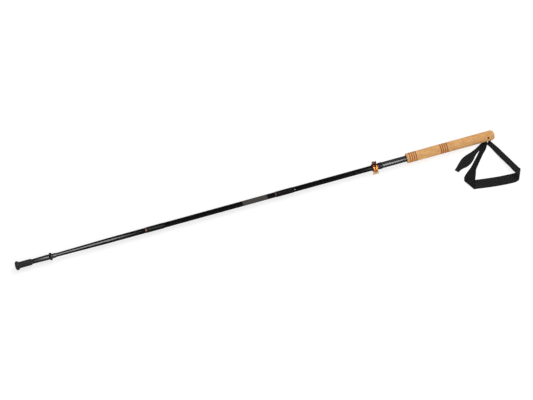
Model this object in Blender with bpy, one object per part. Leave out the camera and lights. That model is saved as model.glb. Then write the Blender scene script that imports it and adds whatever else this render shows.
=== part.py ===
"""Telescoping, folding wading staff with a cork grip, a lever clamp and a wrist strap.

Units are metres. The staff lies along +X: the sole of its foot is at x = 0, its grip is at +X,
and its axis is the X axis. +Z is up, and the camera side is -Y. The grip and the strap touch
a floor that lies one grip radius below the axis.
"""
import math

import bmesh
import bpy
import numpy as np
from mathutils import Matrix, Vector

# Clearances
GLUE_GAP = 0.0001        # between bonded or moulded pieces, radially
SEAT_GAP = 0.0003        # between pieces that butt, end to end or face to face
SLIDE_GAP = 0.00025      # between a tube and what telescopes in it, radially

# Rubber foot
FOOT_LENGTH = 0.0470
FLANGE_LENGTH = 0.0125   # up to the barrel
FLANGE_RADIUS = 0.0120
FLANGE_RIM = 0.0078      # where the rim ends and the hollow taper starts
FLANGE_HOLLOW = 0.0034   # radius of the hollow taper
BARREL_RADIUS = 0.0086
BARREL_SHOULDER = 0.0042  # the taper up to the cone
BARREL_GROOVES = 5
BARREL_PLAIN = 0.0030    # before the first groove
BARREL_GROOVE_WIDTH = 0.0016
BARREL_GROOVE_DEPTH = 0.00035
SOLE_DOME = 0.0022
SOLE_EDGE = 0.0024       # rounding between the sole and the rim
SOLE_FLAT_RADIUS = 0.0050
SOLE_GROOVES = (0.0066, 0.0088)
SOLE_GROOVE = 0.0010     # width and depth
FOOT_FLOOR = 0.0075      # rubber under the washer
WASHER_THICKNESS = 0.0012
WASHER_HOLE_RADIUS = 0.0015

# Tip cone, stop disc and metal tip
CONE_LENGTH = 0.0450     # the length that shows, from the foot to the stop disc
CONE_FOOT_RADIUS = 0.00645
CONE_TOP_RADIUS = 0.00735
CONE_BEVEL = 0.0005
SPIKE_RADIUS = 0.0052    # the cone's stem inside the foot
SPIKE_LENGTH = 0.0240
SPIKE_BEVEL = 0.0008
METAL_TIP_RADIUS = 0.0030
METAL_TIP_END_RADIUS = 0.00165
METAL_TIP_BEVEL = 0.0015
METAL_TIP_LENGTH = 0.0190
SOCKET_DEPTH = 0.0340    # how deep the shaft sits in the cone
DISC_RADIUS = 0.01015
DISC_THICKNESS = 0.0068
DISC_EDGE = 0.0025
DISC_FILLET = 0.0008
DISC_STEP = 0.0022       # hub below the disc
COLLAR_LENGTH = 0.0200
COLLAR_RADIUS = 0.0064
COLLAR_BEVEL = 0.0006

# Carbon shafts
SHAFT_RADIUS = 0.0070
SHAFT_WALL = 0.0010
TIP_SHAFT_RADIUS = 0.0052
TAPER_LENGTH = 0.1440
SHAFT_SETBACK = 0.0030   # from a sleeve's lip to the shaft inside it
LOWER_LENGTH = 0.2480    # from the collar to the lower joint ring
MIDDLE_LENGTH = 0.3590   # from the lower joint ring to the upper joint ring
UPPER_LENGTH = 0.2685    # from the upper joint ring to the clamp, as adjusted here
UPPER_INSERT = 0.1660    # the part of the upper shaft inside the handle tube

# Fold joints
RING_LENGTH = 0.0025
RING_RADIUS = 0.0073
RING_BEVEL = 0.0004
SLEEVE_RADIUS = 0.0076
SLEEVE_BEVEL = 0.0003
LOWER_SLEEVE_LENGTH = 0.0490
UPPER_SLEEVE_LENGTH = 0.0480
SPIGOT_WALL = 0.0023
SPIGOT_SEAT = 0.0320     # bonded length of each spigot
SPIGOT_LEAD = 0.0012     # taper at its free end
LOWER_SPIGOT_REACH = 0.0480
UPPER_SPIGOT_REACH = 0.0440

# Release button and its clip
BUTTON_RADIUS = 0.0020
BUTTON_RISE = 0.0010     # above the shaft
BUTTON_SETBACK = 0.0038  # from the sleeve's edge
BUTTON_ANGLE = 50.0      # degrees up from the camera side
BUTTON_DOME = 0.0005
BUTTON_FLANGE = 0.0007
BUTTON_FLANGE_RADIUS = 0.0026
CLIP_WIDTH = 0.0054
CLIP_THICKNESS = 0.0005
CLIP_LENGTH = 0.0300
CLIP_OVERHANG = 0.0010   # past the button, towards the joint

# Tension cord
CORD_RADIUS = 0.0013
CORD_SIDES = 12
CORD_TUCK = 0.0015       # from the lower anchor's face to the cord's end
KNOT_RADIUS = 0.0026
ANCHOR_LENGTH = 0.0100
ANCHOR_CLEARANCE = 0.0003
TOP_ANCHOR_DEPTH = 0.0840  # from the button to the upper anchor
BUSH_LENGTH = 0.0140
BUSH_CAP = 0.0020        # its full-width end
BUSH_HOLE_RADIUS = 0.0026

# Handle
HANDLE_TUBE_WALL = 0.00085
GRIP_LENGTH = 0.2470
GRIP_RADIUS = 0.0134
GRIP_EDGE = 0.0060       # rounding at the top
GRIP_LOWER_EDGE = 0.0022
GRIP_RUN_OUT = 0.0070    # solid cork over the blind end of the bore
BARE_TUBE_LENGTH = 0.0685
GROOVE_WIDTH = 0.0016
GROOVE_DEPTH = 0.0004
GROOVE_PITCH = 0.0060
GROOVES_IN_BAND = 4
FIRST_BAND = 0.0090      # from the grip's lower end
SECOND_BAND = 0.0950

# Lever clamp
CLAMP_COLLAR_LENGTH = 0.0105
CLAMP_COLLAR_RADIUS = 0.0090
CLAMP_COLLAR_BEVEL = 0.0006
CLAMP_COLLAR_TAPER = 0.0016
CLAMP_COLLAR_LIP = 0.0003
CLAMP_GAP = 0.0040       # between the ring and the black collar
RING_BAND_LENGTH = 0.0130
RING_BAND_WALL = 0.0020
RING_BAND_BEVEL = 0.0005
TUBE_LIP = 0.0016        # tube that shows below the ring
SLIT_WIDTH = 0.0012
SLIT_LENGTH = 0.0210
SPLIT_ANGLE = 137.0      # degrees, where the ring is split
SPLIT_WIDTH = 0.0024
EAR_THICKNESS = 0.0030
EAR_REACH = 0.0160
EAR_LENGTH = 0.0056      # along the staff, between the lever's prongs
SCREW_RADIUS = 0.0013
SCREW_DISTANCE = 0.0133  # from the staff's axis
SCREW_HEAD_RADIUS = 0.0026
SCREW_HEAD_HEIGHT = 0.0022
SCREW_HEAD_BEVEL = 0.0004
SCREW_SOCKET_RADIUS = 0.0011
SCREW_SOCKET_DEPTH = 0.0014
SCREW_PAST_PIVOT = 0.0015
SCREW_GAP = 0.00015
CAM_RADIUS = 0.0033
CAM_OFFSET = 0.0003
BARREL_PIN_RADIUS = 0.0021
LEVER_SECTIONS = 24
LEVER_LENGTH = 0.0140    # along the staff, at the pivot
LEVER_WAIST = 0.0106
LEVER_WAIST_ANGLE = -2.0
LEVER_TAB_LENGTH = 0.0156
LEVER_WALL = 0.0022
LEVER_CLEARANCE = 0.0005
LEVER_START = 101.0      # degrees, where the prongs leave the pivot
LEVER_NOTCH_END = 38.0   # degrees, the bottom of the notch
LEVER_PRONG = 22.0       # degrees above the notch's bottom, where the prongs reach their full width
LEVER_TAB_START = -12.0
LEVER_END = -38.0
LEVER_FLARE = 0.0024
LEVER_HOLE_ANGLE = -4.0
LEVER_HOLE_RADIUS = 0.0014
NOTCH_WIDTH = 0.0064
NOTCH_SECTIONS = 9

# Strap anchor
PIN_FROM_TOP = 0.0195
PIN_RADIUS = 0.0020
PIN_ANGLE = 30.0         # degrees above the horizontal, at the camera side
PIN_RECESS = 0.0030
PLUG_LENGTH = 0.0270
SLOT_END_GAP = 0.0016
SLOT_SIDE_GAP = 0.0010

# Wrist strap
STRAP_THICKNESS = 0.0013
STRAP_LAYER_GAP = 0.00035
STRAP_SLOT_WIDTH = 0.0096
STRAP_WIDE = 0.0310      # at the left fold
STRAP_STEP = 0.0070      # between the band's cross-sections
ROUTE_UNIT = 0.001       # metres in one unit of the route's numbers
CORNER_BEND = 0.0073
CORNER_FAN = 26.0        # degrees
FOLD_GAP = 0.0006        # between the two layers of the flat fold
SCOOP_RADIUS = 0.0240
SCOOP_DEPTH = 0.0058
SCOOP_SIDE = 0.0024      # past the band's edge, at the camera side
SEAM_LENGTH = 0.0040
SEAM_WIDTH = 0.0070
SEAM_DEPTH = 0.0018      # from the pin's axis

# Facets round a turned piece, and how far a cutter runs past what it cuts
FACETS = 28
SMALL_FACETS = 18
PAST = 0.0030

# Places along the staff
METAL_TIP_START = FOOT_FLOOR + GLUE_GAP + WASHER_THICKNESS + SEAT_GAP
CONE_START = FOOT_LENGTH + SEAT_GAP
DISC_START = CONE_START + CONE_LENGTH + SEAT_GAP
COLLAR_END = DISC_START + COLLAR_LENGTH
LOWER_END = COLLAR_END + LOWER_LENGTH
LOWER_RING = LOWER_END + SEAT_GAP
MIDDLE_START = LOWER_RING + RING_LENGTH + SEAT_GAP
MIDDLE_END = MIDDLE_START + MIDDLE_LENGTH
UPPER_RING = MIDDLE_END + SEAT_GAP
UPPER_START = UPPER_RING + RING_LENGTH + SEAT_GAP
TUBE_START = UPPER_START + UPPER_LENGTH
UPPER_END = TUBE_START + UPPER_INSERT
CLAMP_START = TUBE_START + TUBE_LIP
CLAMP_MIDDLE = CLAMP_START + RING_BAND_LENGTH / 2
CLAMP_COLLAR_START = CLAMP_START + RING_BAND_LENGTH + CLAMP_GAP
GRIP_START = CLAMP_COLLAR_START + CLAMP_COLLAR_LENGTH + BARE_TUBE_LENGTH
GRIP_END = GRIP_START + GRIP_LENGTH
PIN_X = GRIP_END - PIN_FROM_TOP
BUTTON_X = UPPER_START + UPPER_SLEEVE_LENGTH + BUTTON_SETBACK

# Radii that follow from a seat
SHAFT_BORE = SHAFT_RADIUS - SHAFT_WALL
SPIGOT_RADIUS = SHAFT_BORE - SLIDE_GAP
SLEEVE_BORE = SHAFT_RADIUS + GLUE_GAP
TUBE_BORE = SHAFT_RADIUS + SLIDE_GAP
TUBE_RADIUS = TUBE_BORE + HANDLE_TUBE_WALL
RING_BORE = TUBE_RADIUS + GLUE_GAP
RING_OUTER = RING_BORE + RING_BAND_WALL
LEVER_INNER = RING_OUTER + LEVER_CLEARANCE
LEVER_OUTER = LEVER_INNER + LEVER_WALL
GRIP_BORE = TUBE_RADIUS + GLUE_GAP
PLUG_START = GRIP_END - GRIP_RUN_OUT - SEAT_GAP - PLUG_LENGTH
FLOOR = -GRIP_RADIUS

# Directions across the staff, seen from the foot
PIN_DIRECTION = Vector((0, -math.cos(math.radians(PIN_ANGLE)), math.sin(math.radians(PIN_ANGLE))))
SLOT_DIRECTION = Vector((0, -math.sin(math.radians(PIN_ANGLE)), -math.cos(math.radians(PIN_ANGLE))))


def clear_scene():
    for thing in list(bpy.data.objects):
        bpy.data.objects.remove(thing, do_unlink=True)


def material(name, colour, roughness, metallic=0.0):
    """A Principled material of one colour."""
    made = bpy.data.materials.new(name)
    made.use_nodes = True
    shader = made.node_tree.nodes["Principled BSDF"]
    shader.inputs["Base Color"].default_value = (*colour, 1.0)
    shader.inputs["Roughness"].default_value = roughness
    shader.inputs["Metallic"].default_value = metallic
    return made


def body(name, x, y=0.0, z=0.0):
    """An empty on a joint's axis, which carries the pieces that move together."""
    empty = bpy.data.objects.new(name, None)
    empty.location = (x, y, z)
    empty.empty_display_size = 0.02
    bpy.context.scene.collection.objects.link(empty)
    return empty


def add(name, mesh, look, carrier, place=(0, 0, 0), smooth=35.0):
    """Link a mesh as one piece, at a world place, carried by an empty."""
    piece = bpy.data.objects.new(name, mesh)
    bpy.context.scene.collection.objects.link(piece)
    mesh.materials.append(look)
    mesh.shade_smooth()
    mesh.set_sharp_from_angle(angle=math.radians(smooth))
    piece.parent = carrier
    piece.location = Vector(place) - carrier.location
    return piece


def mesh_from(work, name):
    """Close a bmesh, turn its faces outward and make it a mesh."""
    bmesh.ops.remove_doubles(work, verts=work.verts, dist=1e-7)
    bmesh.ops.recalc_face_normals(work, faces=work.faces)
    mesh = bpy.data.meshes.new(name)
    work.to_mesh(mesh)
    work.free()
    return mesh


def turned(name, profile, facets=FACETS):
    """Spin a profile of (x, radius) points about X. One that starts and ends on the axis is solid,
    and any other closes on itself as a ring or a tube."""
    work = bmesh.new()
    points = [work.verts.new((x, 0, radius)) for x, radius in profile]
    edges = [work.edges.new(pair) for pair in zip(points, points[1:])]
    solid = profile[0][1] == 0 and profile[-1][1] == 0
    if not solid:
        edges.append(work.edges.new((points[-1], points[0])))
    bmesh.ops.spin(work, geom=points + edges, cent=(0, 0, 0), axis=(1, 0, 0), dvec=(0, 0, 0),
                   angle=math.tau, steps=facets, use_merge=True, use_duplicate=False)
    return mesh_from(work, name)


def tube(name, length, outer, bore, facets=FACETS):
    return turned(name, [(0, bore), (0, outer), (length, outer), (length, bore)], facets)


def arc(centre_x, centre_r, radius, start, end, count):
    """Points of a rounded corner in a profile, between two angles in degrees."""
    angles = np.radians(np.linspace(start, end, count))
    return [(centre_x + radius * math.cos(a), centre_r + radius * math.sin(a)) for a in angles]


def cylinder_mesh(name, start, end, radius, facets=SMALL_FACETS):
    """A plain cylinder between two points."""
    start, end = Vector(start), Vector(end)
    work = bmesh.new()
    turn = (end - start).to_track_quat("Z", "Y").to_matrix().to_4x4()
    place = Matrix.Translation((start + end) / 2) @ turn
    bmesh.ops.create_cone(work, cap_ends=True, segments=facets, radius1=radius, radius2=radius,
                          depth=(end - start).length, matrix=place)
    return mesh_from(work, name)


def block_mesh(name, low, high, turn=None):
    """A box between two corners, turned about the origin."""
    low, high = Vector(low), Vector(high)
    work = bmesh.new()
    size = Matrix.Diagonal((*(high - low), 1.0))
    bmesh.ops.create_cube(work, size=1.0, matrix=Matrix.Translation((low + high) / 2) @ size)
    if turn is not None:
        bmesh.ops.transform(work, matrix=turn, verts=work.verts)
    return mesh_from(work, name)


def tool(name, mesh, target):
    """Place a hidden shape for a Boolean on the same carrier and spot as its target."""
    piece = bpy.data.objects.new(name, mesh)
    bpy.context.scene.collection.objects.link(piece)
    piece.parent = target.parent
    piece.location = target.location
    piece.hide_render = True
    piece.display_type = "WIRE"
    return piece


def boolean(target, mesh, operation="DIFFERENCE"):
    """Cut a shape out of a piece, or join it on. The shape is in the piece's own frame."""
    other = tool(f"{target.name}_{operation.lower()}_{len(target.modifiers)}", mesh, target)
    step = target.modifiers.new(other.name, "BOOLEAN")
    step.operation = operation
    step.solver = "EXACT"
    step.object = other


def across(degrees, radius, x=0.0):
    """A point at an angle round the staff: 0 is the camera side (-Y), 90 is up."""
    angle = math.radians(degrees)
    return Vector((x, -radius * math.cos(angle), radius * math.sin(angle)))


def foot(carrier, looks):
    """The pull-off rubber foot: a domed, grooved sole, a flange and a barrel with a shoulder."""
    bore = SPIKE_RADIUS + SLIDE_GAP
    half = SOLE_GROOVE / 2
    sole = [(0, 0), (0, SOLE_FLAT_RADIUS)]
    for groove in SOLE_GROOVES:
        depth = SOLE_DOME * (groove / FLANGE_RADIUS) ** 2
        sole += [(depth, groove - half), (depth + SOLE_GROOVE, groove - half),
                 (depth + SOLE_GROOVE, groove + half), (depth, groove + half)]
    flange = arc(SOLE_DOME + SOLE_EDGE, FLANGE_RADIUS - SOLE_EDGE, SOLE_EDGE, 180, 90, 4)
    flange.append((FLANGE_RIM, FLANGE_RADIUS))
    neck = arc(FLANGE_LENGTH, BARREL_RADIUS + FLANGE_HOLLOW, FLANGE_HOLLOW, 192, 270, 3)
    barrel_end = FOOT_LENGTH - BARREL_SHOULDER
    pitch = (barrel_end - FLANGE_LENGTH - BARREL_PLAIN) / BARREL_GROOVES
    bottom = BARREL_RADIUS - BARREL_GROOVE_DEPTH
    for groove in range(BARREL_GROOVES):
        start = FLANGE_LENGTH + BARREL_PLAIN + groove * pitch
        neck += [(start, BARREL_RADIUS), (start + BARREL_GROOVE_WIDTH * 0.3, bottom),
                 (start + BARREL_GROOVE_WIDTH * 0.7, bottom),
                 (start + BARREL_GROOVE_WIDTH, BARREL_RADIUS)]
    shoulder = [(barrel_end, BARREL_RADIUS), (FOOT_LENGTH, CONE_FOOT_RADIUS), (FOOT_LENGTH, bore)]
    inside = [(FOOT_FLOOR, bore), (FOOT_FLOOR, 0)]
    add("rubber_foot", turned("rubber_foot", sole + flange + neck + shoulder + inside),
        looks["rubber"], carrier)
    washer = tube("foot_washer", WASHER_THICKNESS, bore - GLUE_GAP, WASHER_HOLE_RADIUS)
    add("foot_washer", washer, looks["steel"], carrier, (FOOT_FLOOR + GLUE_GAP, 0, 0))


def tip(carrier, looks):
    """The plastic cone with its stem in the foot, its metal tip and the small stop disc."""
    stem_start = CONE_START - SPIKE_LENGTH
    stem_bore = METAL_TIP_RADIUS + GLUE_GAP
    shaft_bore = TIP_SHAFT_RADIUS + GLUE_GAP
    cone_end = CONE_START + CONE_LENGTH
    socket = cone_end - SOCKET_DEPTH
    rod_end = METAL_TIP_START + METAL_TIP_LENGTH
    stem_bore_end = rod_end + GLUE_GAP
    profile = [(stem_bore_end, 0), (stem_bore_end, stem_bore), (stem_start, stem_bore),
               (stem_start, SPIKE_RADIUS - SPIKE_BEVEL), (stem_start + SPIKE_BEVEL, SPIKE_RADIUS),
               (CONE_START, SPIKE_RADIUS), (CONE_START, CONE_FOOT_RADIUS - CONE_BEVEL),
               (CONE_START + CONE_BEVEL, CONE_FOOT_RADIUS), (cone_end - CONE_BEVEL, CONE_TOP_RADIUS),
               (cone_end, CONE_TOP_RADIUS - CONE_BEVEL), (cone_end, shaft_bore), (socket, shaft_bore),
               (socket, 0)]
    add("tip_cone", turned("tip_cone", profile), looks["plastic"], carrier)
    spike = [(METAL_TIP_START, 0), (METAL_TIP_START, METAL_TIP_END_RADIUS),
             (METAL_TIP_START + METAL_TIP_BEVEL, METAL_TIP_RADIUS), (rod_end, METAL_TIP_RADIUS),
             (rod_end, 0)]
    add("metal_tip", turned("metal_tip", spike, SMALL_FACETS), looks["steel"], carrier)
    edge = DISC_EDGE
    disc_low = DISC_START + DISC_STEP
    disc_high = disc_low + DISC_THICKNESS
    root = COLLAR_RADIUS + DISC_FILLET
    disc = [(DISC_START, shaft_bore), (DISC_START, COLLAR_RADIUS), (disc_low, root)]
    disc += arc(disc_low + edge, DISC_RADIUS - edge, edge, 180, 90, 3)
    disc += arc(disc_high - edge, DISC_RADIUS - edge, edge, 90, 0, 3)
    disc += [(disc_high, root), (disc_high + DISC_FILLET, COLLAR_RADIUS),
             (COLLAR_END - COLLAR_BEVEL, COLLAR_RADIUS), (COLLAR_END, COLLAR_RADIUS - COLLAR_BEVEL),
             (COLLAR_END, shaft_bore)]
    add("stop_disc", turned("stop_disc", disc), looks["plastic"], carrier)


def spigot(name, start, length, carrier, looks):
    """A hollow aluminium spigot, with a lead-in at its free end."""
    inner = SPIGOT_RADIUS - SPIGOT_WALL
    profile = [(0, inner), (0, SPIGOT_RADIUS), (length - SPIGOT_LEAD, SPIGOT_RADIUS),
               (length, SPIGOT_RADIUS - SPIGOT_LEAD / 2), (length, inner)]
    add(name, turned(name, profile), looks["aluminium"], carrier, (start, 0, 0))


def joint_ring(name, start, carrier, looks):
    """A thin anodised ring that closes the top of a shaft, round its spigot."""
    bore = SPIGOT_RADIUS + GLUE_GAP
    profile = [(0, bore), (0, RING_RADIUS - RING_BEVEL), (RING_BEVEL, RING_RADIUS),
               (RING_LENGTH - RING_BEVEL, RING_RADIUS), (RING_LENGTH, RING_RADIUS - RING_BEVEL),
               (RING_LENGTH, bore)]
    add(name, turned(name, profile), looks["red"], carrier, (start, 0, 0))


def sleeve(name, start, length, carrier, looks):
    """A joint sleeve bonded over a shaft's lower end, with a lip that the ring meets."""
    edge = SLEEVE_BEVEL
    profile = [(0, SLEEVE_BORE), (0, SLEEVE_RADIUS - edge), (edge, SLEEVE_RADIUS),
               (length - edge, SLEEVE_RADIUS), (length, SLEEVE_RADIUS - edge), (length, SLEEVE_BORE)]
    add(name, turned(name, profile), looks["black"], carrier, (start, 0, 0))


def lower_section(carrier, looks):
    """The tapered lower shaft with its spigot, ring and the cord's lower anchor."""
    start = CONE_START + CONE_LENGTH - SOCKET_DEPTH + SEAT_GAP
    taper_end = COLLAR_END + TAPER_LENGTH
    wall = SHAFT_WALL
    shaft = [(start, TIP_SHAFT_RADIUS - wall), (start, TIP_SHAFT_RADIUS),
             (COLLAR_END, TIP_SHAFT_RADIUS), (taper_end, SHAFT_RADIUS), (LOWER_END, SHAFT_RADIUS),
             (LOWER_END, SHAFT_BORE), (taper_end, SHAFT_BORE), (COLLAR_END, TIP_SHAFT_RADIUS - wall)]
    add("lower_shaft", turned("lower_shaft", shaft), looks["carbon"], carrier)
    spigot_start = LOWER_END - SPIGOT_SEAT
    spigot("lower_spigot", spigot_start, MIDDLE_START + LOWER_SPIGOT_REACH - spigot_start,
           carrier, looks)
    joint_ring("lower_joint_ring", LOWER_RING, carrier, looks)
    anchor = tube("cord_anchor_bottom", ANCHOR_LENGTH, TIP_SHAFT_RADIUS - wall - GLUE_GAP,
                  CORD_RADIUS + ANCHOR_CLEARANCE)
    add("cord_anchor_bottom", anchor, looks["plastic"], carrier, (start + SEAT_GAP, 0, 0))
    return start + SEAT_GAP + CORD_TUCK


def middle_section(carrier, looks):
    """The middle shaft with the lower joint's sleeve and the upper joint's spigot and ring."""
    shaft_start = MIDDLE_START + SHAFT_SETBACK
    shaft = tube("middle_shaft", MIDDLE_END - shaft_start, SHAFT_RADIUS, SHAFT_BORE)
    add("middle_shaft", shaft, looks["carbon"], carrier, (shaft_start, 0, 0))
    sleeve("lower_joint_sleeve", MIDDLE_START, LOWER_SLEEVE_LENGTH, carrier, looks)
    spigot_start = MIDDLE_END - SPIGOT_SEAT
    spigot("upper_spigot", spigot_start, UPPER_START + UPPER_SPIGOT_REACH - spigot_start,
           carrier, looks)
    joint_ring("upper_joint_ring", UPPER_RING, carrier, looks)


def upper_section(carrier, looks, cord_start):
    """The upper shaft, its sleeve and top bush, the button's clip and the tension cord."""
    shaft_start = UPPER_START + SHAFT_SETBACK
    shaft = tube("upper_shaft", UPPER_END - shaft_start, SHAFT_RADIUS, SHAFT_BORE)
    piece = add("upper_shaft", shaft, looks["carbon"], carrier, (shaft_start, 0, 0))
    hole_x = BUTTON_X - shaft_start
    hole = cylinder_mesh("button_hole", across(BUTTON_ANGLE, SHAFT_BORE - PAST, hole_x),
                         across(BUTTON_ANGLE, SHAFT_RADIUS + PAST, hole_x), BUTTON_RADIUS + SLIDE_GAP)
    boolean(piece, hole)
    sleeve("tension_sleeve", UPPER_START, UPPER_SLEEVE_LENGTH, carrier, looks)

    bush_body = BUSH_LENGTH - BUSH_CAP
    bush_radius = SHAFT_BORE - GLUE_GAP
    bush = [(0, BUSH_HOLE_RADIUS), (0, bush_radius), (bush_body, bush_radius),
            (bush_body, SHAFT_RADIUS), (BUSH_LENGTH, SHAFT_RADIUS), (BUSH_LENGTH, BUSH_HOLE_RADIUS)]
    add("shaft_top_bush", turned("shaft_top_bush", bush), looks["plastic"], carrier,
        (UPPER_END + SEAT_GAP - bush_body, 0, 0))

    anchor_start = BUTTON_X + TOP_ANCHOR_DEPTH
    anchor = tube("cord_anchor_top", ANCHOR_LENGTH, SHAFT_BORE - GLUE_GAP,
                  CORD_RADIUS + ANCHOR_CLEARANCE)
    add("cord_anchor_top", anchor, looks["plastic"], carrier, (anchor_start, 0, 0))
    knot = anchor_start + ANCHOR_LENGTH + SEAT_GAP
    cord = [(cord_start, 0), (cord_start, CORD_RADIUS), (knot, CORD_RADIUS)]
    cord += arc(knot + KNOT_RADIUS, 0, KNOT_RADIUS, 150, 0, 6)[:-1]
    cord += [(knot + 2 * KNOT_RADIUS, 0)]
    add("tension_cord", turned("tension_cord", cord, CORD_SIDES), looks["cord"], carrier)
    button_clip(carrier, looks)


def button_clip(carrier, looks):
    """A spring clip bent to a U: one leg under the button, one on the far wall."""
    upper = flange_seat() - BUTTON_FLANGE - SEAT_GAP - CLIP_THICKNESS / 2
    lower = -math.sqrt((SHAFT_BORE - GLUE_GAP) ** 2 - (CLIP_WIDTH / 2) ** 2) + CLIP_THICKNESS / 2
    middle = (upper + lower) / 2
    bend = (upper - lower) / 2
    start = -BUTTON_RADIUS - CLIP_OVERHANG
    outline = [(start, upper)]
    outline += [(CLIP_LENGTH - bend + bend * math.cos(a), middle + bend * math.sin(a))
                for a in np.radians(np.linspace(90, -90, 13))]
    outline += [(start, lower)]
    strip = [Vector(point) for point in outline]
    work = bmesh.new()
    rings = []
    for index, point in enumerate(strip):
        before = strip[max(index - 1, 0)]
        after = strip[min(index + 1, len(strip) - 1)]
        run = (after - before).normalized()
        side = Vector((-run.y, run.x)) * CLIP_THICKNESS / 2
        corners = [(point + side, -CLIP_WIDTH / 2), (point + side, CLIP_WIDTH / 2),
                   (point - side, CLIP_WIDTH / 2), (point - side, -CLIP_WIDTH / 2)]
        rings.append([work.verts.new((spot.x, width, spot.y)) for spot, width in corners])
    for ring, following in zip(rings, rings[1:]):
        for corner in range(4):
            other = (corner + 1) % 4
            work.faces.new((ring[corner], ring[other], following[other], following[corner]))
    work.faces.new(rings[0])
    work.faces.new(rings[-1])
    turn = Matrix.Rotation(math.radians(90 - BUTTON_ANGLE), 4, "X")
    bmesh.ops.transform(work, matrix=turn, verts=work.verts)
    clip = add("button_clip", mesh_from(work, "button_clip"), looks["steel"], carrier,
               (BUTTON_X, 0, 0))
    passage = cylinder_mesh("cord_passage", (CLIP_LENGTH - bend, 0, 0), (CLIP_LENGTH + PAST, 0, 0),
                            CORD_RADIUS + SLIDE_GAP)
    boolean(clip, passage)


def flange_seat():
    """How far from the axis the button's flat flange meets the round bore."""
    return math.sqrt((SHAFT_BORE - SEAT_GAP) ** 2 - BUTTON_FLANGE_RADIUS ** 2)


def release_button(carrier, looks):
    """The button in the upper shaft's wall: a domed plunger with a flange inside the bore."""
    top = SHAFT_RADIUS + BUTTON_RISE
    flange_radius = BUTTON_FLANGE_RADIUS
    inner = flange_seat()
    profile = [(inner - BUTTON_FLANGE, 0), (inner - BUTTON_FLANGE, flange_radius),
               (inner, flange_radius), (inner, BUTTON_RADIUS), (top - BUTTON_DOME, BUTTON_RADIUS),
               (top - BUTTON_DOME / 4, BUTTON_RADIUS - BUTTON_DOME), (top, 0)]
    mesh = turned("release_button", profile, SMALL_FACETS)
    outward = across(BUTTON_ANGLE, 1.0)
    turn = outward.to_track_quat("X", "Z").to_matrix().to_4x4()
    mesh.transform(turn)
    add("release_button", mesh, looks["steel"], carrier, (BUTTON_X, 0, 0))


def grip(carrier, looks):
    """The cork grip: turned, with two bands of burnt grooves, a slot and a scoop for the strap."""
    bore_end = GRIP_LENGTH - GRIP_RUN_OUT
    edge = GRIP_LOWER_EDGE
    profile = [(bore_end, 0), (bore_end, GRIP_BORE), (0, GRIP_BORE), (0, GRIP_RADIUS - edge)]
    profile += arc(edge, GRIP_RADIUS - edge, edge, 180, 90, 4)[1:]
    for band in (FIRST_BAND, SECOND_BAND):
        for groove in range(GROOVES_IN_BAND):
            middle = band + groove * GROOVE_PITCH
            half = GROOVE_WIDTH / 2
            depth = GRIP_RADIUS - GROOVE_DEPTH
            profile += [(middle - half, GRIP_RADIUS), (middle - half / 2, depth),
                        (middle + half / 2, depth), (middle + half, GRIP_RADIUS)]
    edge = GRIP_EDGE
    profile += arc(GRIP_LENGTH - edge, GRIP_RADIUS - edge, edge, 90, 0, 6)
    profile += [(GRIP_LENGTH, 0)]
    mesh = turned("cork_grip", profile)
    piece = add("cork_grip", mesh, looks["cork"], carrier, (GRIP_START, 0, 0))
    pin = PIN_X - GRIP_START
    boolean(piece, slot_mesh(pin))
    boolean(piece, scoop_mesh(pin))
    boolean(piece, pin_hole_mesh(pin))


def slot_mesh(pin):
    """The strap's slot, open at the underside: two layers at one side of the pin, one at the other."""
    wrap = PIN_RADIUS + STRAP_LAYER_GAP + STRAP_THICKNESS
    outer = wrap + STRAP_LAYER_GAP + STRAP_THICKNESS
    half = STRAP_SLOT_WIDTH / 2 + SLOT_SIDE_GAP
    low = (pin - outer - SLOT_END_GAP, -half, -GRIP_RADIUS - PAST)
    high = (pin + wrap + SLOT_END_GAP, half, wrap + SLOT_END_GAP)
    return block_mesh("strap_slot", low, high, slot_turn())


def slot_turn():
    """The turn that takes -Z to the slot's direction and Y to across the slot."""
    return Matrix.Rotation(-math.radians(PIN_ANGLE), 4, "X")


def scoop_mesh(pin):
    """A shallow hollow round the slot's mouth, which lets the strap leave to both sides."""
    centre = SLOT_DIRECTION * (GRIP_RADIUS - SCOOP_DEPTH + SCOOP_RADIUS) + Vector((pin, 0, 0))
    half = STRAP_SLOT_WIDTH / 2 + SCOOP_SIDE
    return cylinder_mesh("strap_scoop", centre - PIN_DIRECTION * (GRIP_RADIUS + PAST),
                         centre + PIN_DIRECTION * half, SCOOP_RADIUS, 2 * FACETS)


def pin_hole_mesh(pin):
    centre = Vector((pin, 0, 0))
    reach = PIN_DIRECTION * (GRIP_RADIUS + PAST)
    return cylinder_mesh("pin_hole", centre - reach, centre + reach, PIN_RADIUS + GLUE_GAP)


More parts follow.
